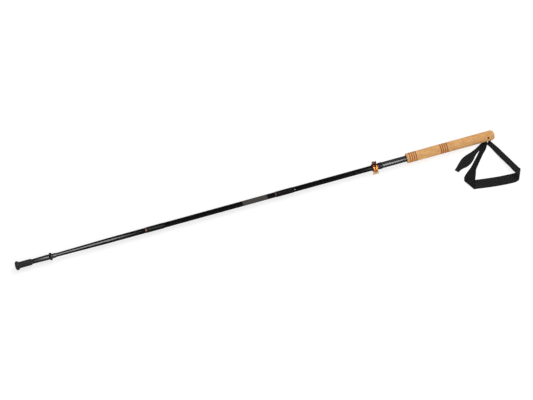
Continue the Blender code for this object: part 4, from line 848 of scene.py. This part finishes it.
seat = ear + SCREW_SEAT_GAP
head = seat + SCREW_HEAD_HEIGHT
screw_end = -seat - CAM_RADIUS - CAM_OFFSET - SCREW_PAST_PIVOT
corners = [(screw_end, 0, 0), (screw_end, SCREW_RADIUS - 0.0003, 0.0001),
           (screw_end + 0.0004, SCREW_RADIUS, 0.0001), (seat, SCREW_RADIUS, 0.0001),
           (seat, SCREW_HEAD_RADIUS, 0.0002), (head, SCREW_HEAD_RADIUS, 0.0005), (head, 0, 0)]
screw = turned("socket_screw", curved(corners), 48)
carved(screw, rod("socket", (head - KEY_DEPTH, 0, 0), (head + CUT_PAST, 0, 0), KEY_RADIUS, 0.0, 6))
at_screw = Matrix.Translation(Vector((CLAMP_MIDDLE, 0, 0)) + line)
screw.data.transform(at_screw @ onward.to_track_quat("X", "Z").to_matrix().to_4x4())
screw.data.materials.append(blackened)
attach(screw, "screw")
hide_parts("clamp_screw")

pivot = Vector((CLAMP_MIDDLE, 0, 0)) + line - onward * (seat + CAM_RADIUS + CAM_OFFSET)
PIVOT_HALF = 0.0056      # half the pivot's length along the staff
barrel = rod("cross_barrel", pivot - Vector((PIVOT_HALF, 0, 0)), pivot + Vector((PIVOT_HALF, 0, 0)),
             PIVOT_RADIUS, 0.0003)
through = onward * (PIVOT_RADIUS + CUT_PAST)
carved(barrel, rod("thread_hole", pivot - through, pivot + through, SCREW_RADIUS + SCREW_GAP))
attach(barrel, "handle")
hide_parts("pivot_barrel")

# Clamp lever
# A forked lever of orange anodised aluminium that lies round the ring when it is shut: two prongs
# from the pivot, painted darker there as shade, a V notch, a waist with a hole whose wall is painted
# dark as shade, and a broad tab, painted pale as a highlight, that flares out for the thumb.
LEVER_START = 101.0      # degrees round the staff, where the prongs leave the pivot
NOTCH_END = 26.0
TAB_START = -14.0
LEVER_END = -41.0
LEVER_FLARE = 0.0050
LEVER_GAP = 0.0005
LEVER_INNER = CLAMP_OUTER + LEVER_GAP
LEVER_WALL = 0.0022
NOTCH_HALF = 0.0032
LEVER_EDGE = 0.0006
WAIST_ANGLE = -8.0
WAIST_HALF = 0.0060
TAB_HALF = 0.0076
PRONG_RUN = 64.0         # degrees from the waist to the prongs' full width
HOLE_ANGLE = -4.0
HOLE_RADIUS = 0.0030

orange, tree, shader, place = finish("orange_anodising", Metallic=0.60, Specular_IOR_Level=0.15)
spot = node(tree, "ShaderNodeSeparateXYZ", {0: place}).outputs
grain = noise(tree, place, 1400.0, 3.0, 0.6)
bright = blended(tree, grain, (0.46, 0.150, 0.028), (0.60, 0.205, 0.042))
# Painted shade: near the pivot, at the top and back of the lever and its barrel, the orange turns dark red.
painted_shade_top = blended(tree, ranged(tree, spot["Y"], -0.0060, -0.0015), bright, (0.125, 0.024, 0.012))
# Painted highlight: low on the lever, the tab turns pale cream.
painted_highlight_tab = blended(tree, ranged(tree, spot["Z"], -0.0042, -0.0066, 0.0, 0.8), painted_shade_top, (0.62, 0.46, 0.28))
# Painted shade in the hole: its wall darkens by how far a place stands from the hole's line, by a cross
# product.
from_hole = node(tree, "ShaderNodeVectorMath", {0: place, 1: (CLAMP_MIDDLE, 0, 0)},
                 operation="SUBTRACT").outputs[0]
from_hole = node(tree, "ShaderNodeVectorMath", {0: from_hole, 1: round_staff(HOLE_ANGLE, 1.0)},
                 operation="CROSS_PRODUCT").outputs[0]
from_hole = node(tree, "ShaderNodeVectorMath", {0: from_hole}, operation="LENGTH").outputs["Value"]
painted_hole_shade = ranged(tree, from_hole, HOLE_RADIUS * 1.12, HOLE_RADIUS * 1.02)
shaded = blended(tree, painted_hole_shade, painted_highlight_tab, (0.05, 0.013, 0.006))
tree.links.new(shaded, shader.inputs["Base Color"])
tree.links.new(ranged(tree, grain, 0.3, 0.7, 0.28, 0.40), shader.inputs["Roughness"])
raised(tree, shader, grain, 0.00001, 0.5)

rows = 90
angles = np.linspace(LEVER_START, LEVER_END, rows)
flare = LEVER_FLARE * np.clip((TAB_START - angles) / (TAB_START - LEVER_END), 0, None) ** 1.5
inner, outer = LEVER_INNER + flare, LEVER_INNER + LEVER_WALL + flare * 1.15
opened = np.clip((angles - NOTCH_END) / (LEVER_START - NOTCH_END), 0, 1)
notch = NOTCH_HALF * opened ** 0.75
prong = np.clip((angles - WAIST_ANGLE) / PRONG_RUN, 0, 1)
tab = np.clip((WAIST_ANGLE - angles) / (WAIST_ANGLE - LEVER_END), 0, 1)
wide = WAIST_HALF + ((PIVOT_HALF - WAIST_HALF) * prong ** 2 * (3 - 2 * prong)
                     + (TAB_HALF - WAIST_HALF) * tab ** 2 * (3 - 2 * tab))


def lever_half_grid(side):
    """One half of the lever: at each angle a section with four rounded corners, between the notch's
    edge and the side. Its inner corners lose their rounding where the notch closes."""
    share = np.linspace(0, 1, 6)[None, :]
    cut = np.minimum(LEVER_EDGE, notch)
    full = np.full(rows, LEVER_EDGE)
    corners = [((notch, inner + cut), (notch, inner), (notch + cut, inner)),
               ((wide - full, inner), (wide, inner), (wide, inner + full)),
               ((wide, outer - full), (wide, outer), (wide - full, outer)),
               ((notch + cut, outer), (notch, outer), (notch, outer - cut))]
    x, radius = [], []
    for first, corner, last in corners:
        for store, which in ((x, 0), (radius, 1)):
            store.append((1 - share) ** 2 * first[which][:, None]
                         + 2 * share * (1 - share) * corner[which][:, None]
                         + share ** 2 * last[which][:, None])
    x, radius = np.hstack(x) * side, np.hstack(radius)
    turn = np.radians(angles)[:, None]
    return np.stack([x + CLAMP_MIDDLE, -radius * np.cos(turn), radius * np.sin(turn)], axis=2)


def closed_ends(grid):
    """The grid with a row added at each end, where every point moves to the section's middle line."""
    count = grid.shape[1] // 2
    middle = (grid[[0, -1], :count] + grid[[0, -1], ::-1][:, :count]) / 2
    ends = np.concatenate([middle, middle[:, ::-1]], axis=1)
    return np.concatenate([ends[:1], grid, ends[1:]])


patches = []
for side in (1, -1):
    grid = lever_half_grid(side)
    open_rows = int((notch > 0).sum()) + 1
    wall = grid[:open_rows][:, [-1, 0]]
    whole = closed_ends(grid)
    patches += [(whole, np.zeros((*whole.shape[:2], 2))), (wall, np.zeros((*wall.shape[:2], 2)))]
lever = surface("anodised_clamp_lever", *patches)
shift = pivot + onward * CAM_OFFSET
side = Vector((PIVOT_HALF, 0, 0))
for way in (1, -1):
    first, last = shift + side * way, shift + side * way * (NOTCH_HALF / PIVOT_HALF)
    carved(lever, rod("cam", first, last, CAM_RADIUS, 0.0003), "UNION")
carved(lever, rod("cam_bore", pivot - side * 1.4, pivot + side * 1.4, PIVOT_RADIUS + CAM_BORE_GAP))
carved(lever, rod("lever_hole", round_staff(HOLE_ANGLE, LEVER_INNER - CUT_PAST, CLAMP_MIDDLE),
                  round_staff(HOLE_ANGLE, LEVER_INNER + LEVER_WALL + CUT_PAST, CLAMP_MIDDLE), HOLE_RADIUS))
lever.data.materials.append(orange)
barrel.data.materials.append(orange)
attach(lever, "lever")
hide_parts("clamp_lever")

# Cork grip
# Ground cork, moulded and turned, glued on the handle tube. Two bands of four grooves are burnt in.
# A slot near its top takes the strap, and a cross hole takes the pin.
grip_low, grip_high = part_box("cork_grip")
GRIP_RADIUS = grip_high.z
GRIP_BORE = TUBE_RADIUS + GLUE_GAP
GROOVE_WIDTH = 0.0016
GROOVE_DEPTH = 0.0004
GROOVE_PITCH = 0.0058
FIRST_BAND = 0.0081
SECOND_BAND = 0.0950
GRIP_RUN_OUT = 0.0070
PIN_FROM_TOP = 0.0195
PIN_ANGLE = 30.0
PIN_RADIUS = 0.0020
PIN_GAP = 0.0001
PIN_MOUTH_RADIUS = 0.0025
PIN_MOUTH_DEPTH = 0.0016
STRAP_THICKNESS = 0.0013
STRAP_LAYER_GAP = 0.00035
SLOT_STRAP = 0.0096      # the strap's width in the slot
SLOT_SIDE = 0.0010
SLOT_MARGIN = 0.0016
SCOOP_RADIUS = 0.0240
SCOOP_DEPTH = 0.0058
SCOOP_MARGIN = 0.0024
BURN_FADE = GROOVE_WIDTH * 0.68
BURN_END = 1.85 * BURN_FADE
PIN_BURN_FADE = 0.0008
PIN_BURN_END = 4.5 * PIN_BURN_FADE
PITS = 260
PIT_DEPTH = 0.00022

PIN_X = grip_high.x - PIN_FROM_TOP
pin_way = round_staff(PIN_ANGLE, 1.0)
slot_way = Vector((0, -math.sin(math.radians(PIN_ANGLE)), -math.cos(math.radians(PIN_ANGLE))))
slot_turn = Matrix.Rotation(-math.radians(PIN_ANGLE), 4, "X")
grooves = grip_low.x + np.array([band + groove * GROOVE_PITCH for band in (FIRST_BAND, SECOND_BAND)
                                 for groove in range(4)])

chance = np.random.default_rng(7)
pit_x = chance.uniform(grip_low.x + 0.004, grip_high.x - 0.004, PITS)
pit_angle = chance.uniform(0, math.tau, PITS)
pit_long = chance.uniform(0.0006, 0.0022, PITS)
pit_wide = chance.uniform(0.0003, 0.0007, PITS)
pit_deep = chance.uniform(0.3, 1.0, PITS) * PIT_DEPTH


def pitted(x, angle):
    """Small pits in the cork, each a bell that is wider round the grip than along it."""
    depth = np.zeros(np.broadcast(x, angle).shape)
    for spot, turn, long, wide, deep in zip(pit_x, pit_angle, pit_long, pit_wide, pit_deep):
        near = np.abs(x[:, 0] - spot) < 4 * wide
        round_it = (angle - turn + math.pi) % math.tau - math.pi
        bell = ((x[near] - spot) / wide) ** 2 + (round_it * GRIP_RADIUS / long) ** 2
        depth[near] -= deep * np.exp(-bell)
    return depth


corners = [(grip_high.x - GRIP_RUN_OUT, 0, 0), (grip_high.x - GRIP_RUN_OUT, GRIP_BORE, 0),
           (grip_low.x, GRIP_BORE, 0.0001), (grip_low.x, GRIP_RADIUS, 0.0030)]
for groove in grooves:
    half = GROOVE_WIDTH / 2
    corners += [(groove - half, GRIP_RADIUS, 0.0002), (groove - half / 2, GRIP_RADIUS - GROOVE_DEPTH, 0.0002),
                (groove + half / 2, GRIP_RADIUS - GROOVE_DEPTH, 0.0002), (groove + half, GRIP_RADIUS, 0.0002)]
corners += [(grip_high.x, GRIP_RADIUS, 0.0105), (grip_high.x, 0, 0)]
profile = curved(corners, 8)
outside = profile[:, 1] > GRIP_BORE + 0.0010
first = int(np.argmax(outside))
profile = np.vstack([profile[:first], filled_in(profile[first:], 0.0009)])
grip = turned("cork_handle", profile, 144,
              lambda x, angle: pitted(x, angle) * (np.arange(len(x)) >= first)[:, None])
wrap = PIN_RADIUS + STRAP_LAYER_GAP + STRAP_THICKNESS
slot_outer = wrap + STRAP_LAYER_GAP + STRAP_THICKNESS
slot_half = SLOT_STRAP / 2 + SLOT_SIDE
past_grip = GRIP_RADIUS + CUT_PAST
carved(grip, bar("strap_slot", (PIN_X - slot_outer - SLOT_MARGIN, -slot_half, -past_grip),
                 (PIN_X + wrap + SLOT_MARGIN, slot_half, wrap + SLOT_MARGIN), slot_turn))
scoop = slot_way * (GRIP_RADIUS - SCOOP_DEPTH + SCOOP_RADIUS) + Vector((PIN_X, 0, 0))
carved(grip, rod("scoop", scoop - pin_way * past_grip, scoop + pin_way * (SLOT_STRAP / 2 + SCOOP_MARGIN),
                 SCOOP_RADIUS, 0.0, 144))
pin_middle = Vector((PIN_X, 0, 0))
carved(grip, rod("pin_hole", pin_middle - pin_way * past_grip, pin_middle + pin_way * past_grip,
                 PIN_RADIUS + PIN_GAP))
for way in (1, -1):
    carved(grip, rod("pin_mouth", pin_middle + pin_way * (way * (GRIP_RADIUS - PIN_MOUTH_DEPTH)),
                     pin_middle + pin_way * (way * past_grip), PIN_MOUTH_RADIUS))
spots = np.zeros(len(grip.data.vertices) * 3, np.float32)
grip.data.vertices.foreach_get("co", spots)
spots = spots.reshape(-1, 3)
# Burnt: 1 in the grooves and fading out beside them, and the same round the pin's hole.
near_groove = np.abs(spots[:, :1] - grooves[None, :]).min(axis=1)
outside = np.hypot(spots[:, 1], spots[:, 2]) > GRIP_RADIUS - 0.0012
near_pin = np.hypot(spots[:, 0] - PIN_X, spots @ np.array(slot_way))
burn = np.clip((BURN_END - near_groove) / BURN_FADE, 0, 1) * outside
burn = np.maximum(burn, np.clip((PIN_BURN_END - near_pin) / PIN_BURN_FADE, 0, 1))
grip.data.attributes.new("burnt", "FLOAT", "POINT").data.foreach_set("value", burn.astype(np.float32))

cork, tree, shader, place = finish("ground_cork", Specular_IOR_Level=0.25)
crumbs = node(tree, "ShaderNodeTexVoronoi", {"Vector": place, "Scale": 520.0})
crumb_tone = node(tree, "ShaderNodeSeparateColor", {0: crumbs.outputs["Color"]}).outputs[0]
drift = ranged(tree, noise(tree, stretched(tree, place, (0.35, 1.0, 1.0)), 110.0, 4.0, 0.6), 0.3, 0.7)
tone = combined(tree, "ADD", combined(tree, "MULTIPLY", crumb_tone, 0.40),
                combined(tree, "MULTIPLY", drift, 0.60))
pale = blended(tree, ranged(tree, tone, 0.15, 0.85), (0.60, 0.285, 0.088), (0.84, 0.470, 0.182))
flecks = ranged(tree, noise(tree, place, 900.0, 3.0, 0.65), 0.63, 0.72)
cracks = ranged(tree, noise(tree, stretched(tree, place, (3.2, 1.0, 1.0)), 210.0, 4.0, 0.6), 0.66, 0.73)
spotted = blended(tree, combined(tree, "MAXIMUM", flecks, cracks), pale, (0.30, 0.130, 0.045))
burnt = node(tree, "ShaderNodeAttribute", attribute_name="burnt").outputs["Fac"]
scorch = combined(tree, "MULTIPLY", burnt, ranged(tree, noise(tree, place, 500.0, 4.0), 0.25, 0.55, 0.7, 1.0))
scorched = blended(tree, scorch, spotted, (0.33, 0.072, 0.002))
tree.links.new(scorched, shader.inputs["Base Color"])
tree.links.new(ranged(tree, tone, 0.2, 1.0, 0.86, 0.70), shader.inputs["Roughness"])
grain = combined(tree, "SUBTRACT", combined(tree, "MULTIPLY", crumbs.outputs["Distance"], 3.0),
                 combined(tree, "MAXIMUM", flecks, cracks))
raised(tree, shader, grain, 0.00012, 0.7)
grip.data.materials.append(cork)
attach(grip, "handle")
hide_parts("cork_grip")

# Strap pin
# A round pin of blackened steel, pressed across the grip and below the cork at both ends. The strap
# goes round it inside the slot.
PIN_RECESS = 0.0048
pin_reach = pin_way * (GRIP_RADIUS - PIN_RECESS)
pin = rod("steel_cross_pin", pin_middle - pin_reach, pin_middle + pin_reach, PIN_RADIUS, 0.0003)
pin.data.materials.append(blackened)
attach(pin, "handle")
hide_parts("strap_pin")

# Wrist strap
# One band of black nylon webbing, woven narrow and shaped wide for the wrist. Its cut tail goes
# round the pin, the band runs round the loop, folds flat at the far corner and is sewn in the slot.
STRAP_STEP = 0.0011
ROLL_CORNER = Vector((0.03365, -0.14025, 0))
ROLL_BEND = 0.0073
FOLD_CORNER = Vector((-0.0963, -0.1294, 0))
FOLD_BEND = (STRAP_THICKNESS + 0.0006) / 2
floor_line = cad_low.z + STRAP_THICKNESS / 2


def beside(run, side):
    """The direction across a band that lies flat and runs along run."""
    return Vector((-run.y, run.x, 0)).normalized() * side


def lying(points, side):
    """Stations of a flat stretch: (x, y, height over the floor, width) from the pin, in millimetres."""
    spots = [Vector((x / 1000, y / 1000, floor_line + rise / 1000)) for x, y, rise, width in points]
    runs = [spots[min(i + 1, len(spots) - 1)] - spots[max(i - 1, 0)] for i in range(len(spots))]
    return [(spot, beside(run, side), point[3] / 1000) for spot, run, point in zip(spots, runs, points)]


def rolled(corner, fold, outward, slip, bend, widths, rising, fan=0.0):
    """Stations of a band that rolls over a fold line, where its run turns in plan: a half circle of the
    bend's radius, which slides along the line by slip for each length that it rolls. The band's own
    cross-line turns by fan degrees on the way, which opens the roll at one side."""
    made = []
    for angle in np.linspace(0, math.pi, 9):
        turn = angle if rising else math.pi - angle
        rise = Vector((0, 0, floor_line + bend * (1 - math.cos(turn))))
        slid = fold * (slip * bend * (angle - math.pi / 2))
        opened = Matrix.Rotation(math.radians(fan) * (angle / math.pi - 0.5), 3, "Z")
        made.append((corner + outward * (bend * math.sin(angle)) + slid + rise, opened @ fold,
                     widths[0] + (widths[1] - widths[0]) * angle / math.pi))
    return made


def fold_line(arriving, leaving, side):
    """The fold line between two runs in plan, the way the roll bulges, and the slip along it."""
    arriving, leaving = arriving.normalized(), leaving.normalized()
    fold = (arriving + leaving).normalized()
    outward = (arriving - leaving).normalized()
    slip = arriving.dot(fold) / arriving.dot(outward)
    if fold.dot(beside(arriving, side)) < 0:
        return -fold, outward, -slip
    return fold, outward, slip


def in_slot(x, depth, width=SLOT_STRAP):
    """A station in the slot, at a depth towards its mouth."""
    return (Vector((x, 0, 0)) + slot_way * depth, -pin_way, width)


inner_wrap = PIN_RADIUS + STRAP_LAYER_GAP + STRAP_THICKNESS / 2
second_wrap = inner_wrap + STRAP_THICKNESS + STRAP_LAYER_GAP
stations = lying([(-112.8, -74.8, 0, 12.8), (-108.5, -71.8, 0, 13.6), (-103.5, -68, 0, 15.4),
                  (-97, -63.8, 0, 19.6), (-89.5, -60, 0, 25), (-81, -54.5, 0, 28.8), (-71, -47.7, 0, 28.4),
                  (-62.5, -41.7, 0, 24.4), (-54, -36.1, 0, 18.4), (-46.9, -31.5, 0, 15),
                  (-39.6, -27.1, 0, 12.6), (-28.2, -20.3, 0.1, 12.2), (-17, -13.3, 0.4, 11.4)], 1)
stations += [(Vector((-0.0092, -0.0102, -0.01175)), Vector((-0.40, 0.88, -0.18)), 0.0102),
             (Vector((-0.0048, -0.0070, -0.0098)), Vector((-0.22, 0.87, -0.42)), 0.0096),
             in_slot(-inner_wrap - 0.0001, 0.0080), in_slot(-inner_wrap, 0.0050),
             in_slot(-inner_wrap, 0.0025)]
stations += [in_slot(-inner_wrap * math.cos(angle), -inner_wrap * math.sin(angle))
             for angle in np.linspace(0, math.pi, 9)]
stations += [in_slot(inner_wrap, 0.0025), in_slot(inner_wrap, 0.0050), in_slot(inner_wrap + 0.0001, 0.0080),
             (Vector((0.0020, -0.0080, -0.0105)), Vector((0.56, 0.78, -0.28)), 0.0124),
             (Vector((0.0002, -0.0126, -0.01185)), Vector((0.86, 0.50, -0.08)), 0.0146)]
stations += lying([(2.7, -19.0, 0.5, 14.8), (6.6, -29.3, 1.1, 15.6), (11.7, -45.9, 2.4, 17.1),
                   (16.8, -63.5, 3.9, 17.7), (24.5, -90.5, 7.5, 18), (31.4, -116.5, 11.6, 18)], 1)
stations += rolled(ROLL_CORNER, Vector((0.450, 0.893, 0)), Vector((0.893, -0.450, 0)), -0.513, ROLL_BEND,
                   (0.0195, 0.0285), False, 26.0)
stations += lying([(19.5, -146.1, 0, 30.4), (7.5, -145.3, 0, 31.2), (-10.5, -143.9, 0, 31),
                   (-35.5, -140.7, 0, 31.2), (-60.5, -136.7, 0, 31), (-80.5, -133.1, 0, 30.8)], -1)
stations += rolled(FOLD_CORNER, *fold_line(Vector((-0.980, 0.190, 0)), Vector((0.520, 0.854, 0)), -1),
                   FOLD_BEND, (0.031, 0.031), True)
stations += lying([(-86.1, -106.7, 1.9, 29), (-77.4, -94.4, 1.1, 23.6), (-68.9, -82.7, 0.3, 16.8),
                   (-61.5, -74, 0, 15.1), (-54.8, -66.3, 0, 14.5), (-47.5, -57.9, 0.1, 13.8),
                   (-40.3, -49.8, 0.5, 13.3), (-31.5, -39.8, 1.6, 13.2), (-21.5, -28.8, 1.9, 14.2)], 1)
stations += [(Vector((-0.0120, -0.0162, -0.0102)), Vector((-0.50, 0.82, -0.06)), 0.0130),
             (Vector((-0.0076, -0.0099, -0.00935)), Vector((-0.36, 0.87, -0.24)), 0.0128),
             (Vector((-0.0059, -0.0056, -0.0080)), Vector((-0.12, 0.88, -0.46)), 0.0094),
             in_slot(-second_wrap - 0.0002, 0.0062, 0.0094), in_slot(-second_wrap, 0.0040),
             in_slot(-second_wrap, 0.0010)]


def smooth_route(stations, step):
    """Rows of place, side and width no further apart than step, on cubic Hermite curves through the
    stations, whose slopes are the mean of the slopes at both sides, weighted by the other side's length."""
    chosen = np.array([[*spot, *side, width] for spot, side, width in stations])
    spans = np.linalg.norm(np.diff(chosen[:, :3], axis=0), axis=1)[:, None]
    slopes = np.diff(chosen, axis=0) / spans
    inner = (slopes[:-1] * spans[1:] + slopes[1:] * spans[:-1]) / (spans[1:] + spans[:-1])
    tangents = np.vstack([slopes[:1], inner, slopes[-1:]])
    counts = np.maximum(np.ceil(spans[:, 0] / step), 1).astype(int)
    which = np.repeat(np.arange(len(counts)), counts)
    t = ((np.arange(counts.sum()) - np.repeat(np.cumsum(counts) - counts, counts)) / counts[which])[:, None]
    made = ((1 + 2 * t) * (1 - t) ** 2 * chosen[which] + t * (1 - t) ** 2 * spans[which] * tangents[which]
            + t * t * (3 - 2 * t) * chosen[which + 1] + t * t * (t - 1) * spans[which] * tangents[which + 1])
    made = np.vstack([made, chosen[-1:]])
    made[:, 2] = np.maximum(made[:, 2], floor_line)
    made[:, 3:6] /= np.linalg.norm(made[:, 3:6], axis=1, keepdims=True)
    return made


route = smooth_route(stations, STRAP_STEP)
centre, side, width = route[:, :3], route[:, 3:6], route[:, 6:]
run = np.gradient(centre, axis=0)
run /= np.linalg.norm(run, axis=1, keepdims=True)
up = np.cross(run, side)
slant = np.linalg.norm(up, axis=1, keepdims=True)
up /= slant
RIBS_ACROSS = 12
RIB_HALF_HEIGHT = 0.00005
SELVEDGE = 0.0007        # the rounded part of each edge
columns = 6 * RIBS_ACROSS
share = np.linspace(-1, 1, columns)
edge = np.clip((1 - np.abs(share)) * width / 2 / SELVEDGE, 0, 1)
thick = STRAP_THICKNESS / 2 * np.sqrt(1 - (1 - edge) ** 2)
ribs = RIB_HALF_HEIGHT * (np.cos(share * RIBS_ACROSS * math.pi) - 1)
thick = thick + ribs * edge
spread = share[None, :, None] * (width / 2 / slant)[:, :, None] * side[:, None, :]
top = centre[:, None] + spread + thick[:, :, None] * up[:, None, :]
bottom = centre[:, None] + spread - thick[:, :, None] * up[:, None, :]
grid = np.concatenate([top, bottom[:, ::-1]], axis=1)
middle = (grid + grid[:, ::-1]) / 2
grid = np.concatenate([middle[:1], grid, middle[-1:]])
grid = np.concatenate([grid, grid[:, :1]], axis=1) + np.array([PIN_X, 0, 0])
length = np.r_[0, np.cumsum(np.linalg.norm(np.diff(centre, axis=0), axis=1))]
fold_length = float(length[np.linalg.norm(centre[:, :2] - np.array(FOLD_CORNER)[:2], axis=1).argmin()])
length = np.r_[length[:1], length, length[-1:]]
wide = np.concatenate([width[:1], width, width[-1:]])
across = np.concatenate([share, share[::-1], share[:1]])[None, :] * wide / 2
uv = np.stack(np.broadcast_arrays(across, length[:, None]), axis=2)
strap = surface("webbing_wrist_strap", (grid, uv))

THREAD = 0.0009
TWILL = 0.0084
UNDERSIDE = 0.45         # the tone past the fold, where the band shows its darker underside
FOLD_BLUR = 0.004
webbing, tree, shader, place = finish("black_webbing", Specular_IOR_Level=0.05, Sheen_Weight=0.04,
                                      Sheen_Roughness=0.45)
uv = node(tree, "ShaderNodeSeparateXYZ", {0: node(tree, "ShaderNodeUVMap").outputs[0]}).outputs


def slanted(way, pitch, shift=0.0):
    """Lines at 45 degrees to the band: a triangle wave of its length plus or minus its width."""
    where = combined(tree, "ADD", combined(tree, way, uv["Y"], uv["X"]), shift)
    return combined(tree, "PINGPONG", combined(tree, "DIVIDE", where, pitch), 0.5)


weave = combined(tree, "MULTIPLY", ranged(tree, slanted("ADD", THREAD), 0.0, 0.5, 0.3, 1.0),
                 ranged(tree, slanted("SUBTRACT", THREAD), 0.0, 0.5, 0.5, 1.0))
mottle = noise(tree, place, 330.0, 4.0, 0.65)
uneven = combined(tree, "MULTIPLY", noise(tree, place, 120.0, 2.0), TWILL)
hatch = combined(tree, "MAXIMUM", ranged(tree, slanted("ADD", TWILL, uneven), 0.10, 0.44),
                 ranged(tree, slanted("SUBTRACT", TWILL, uneven), 0.14, 0.48, 0.0, 0.5))
tone = combined(tree, "MULTIPLY", weave, ranged(tree, mottle, 0.35, 0.65, 0.35, 1.35))
tone = combined(tree, "MULTIPLY", tone, ranged(tree, hatch, 0.0, 1.0, 0.10, 1.6))
turned_over = ranged(tree, uv["Y"], fold_length - FOLD_BLUR, fold_length + FOLD_BLUR, 1.0, UNDERSIDE)
tone = combined(tree, "MULTIPLY", tone, turned_over)
tree.links.new(blended(tree, tone, (0.0030, 0.0030, 0.0032), (0.0350, 0.0350, 0.0360)),
               shader.inputs["Base Color"])
tree.links.new(ranged(tree, mottle, 0.3, 0.7, 0.70, 0.86), shader.inputs["Roughness"])
raised(tree, shader, weave, 0.00018, 0.8)
strap.data.materials.append(webbing)
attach(strap, "handle")
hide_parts("wrist_strap")

low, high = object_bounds()
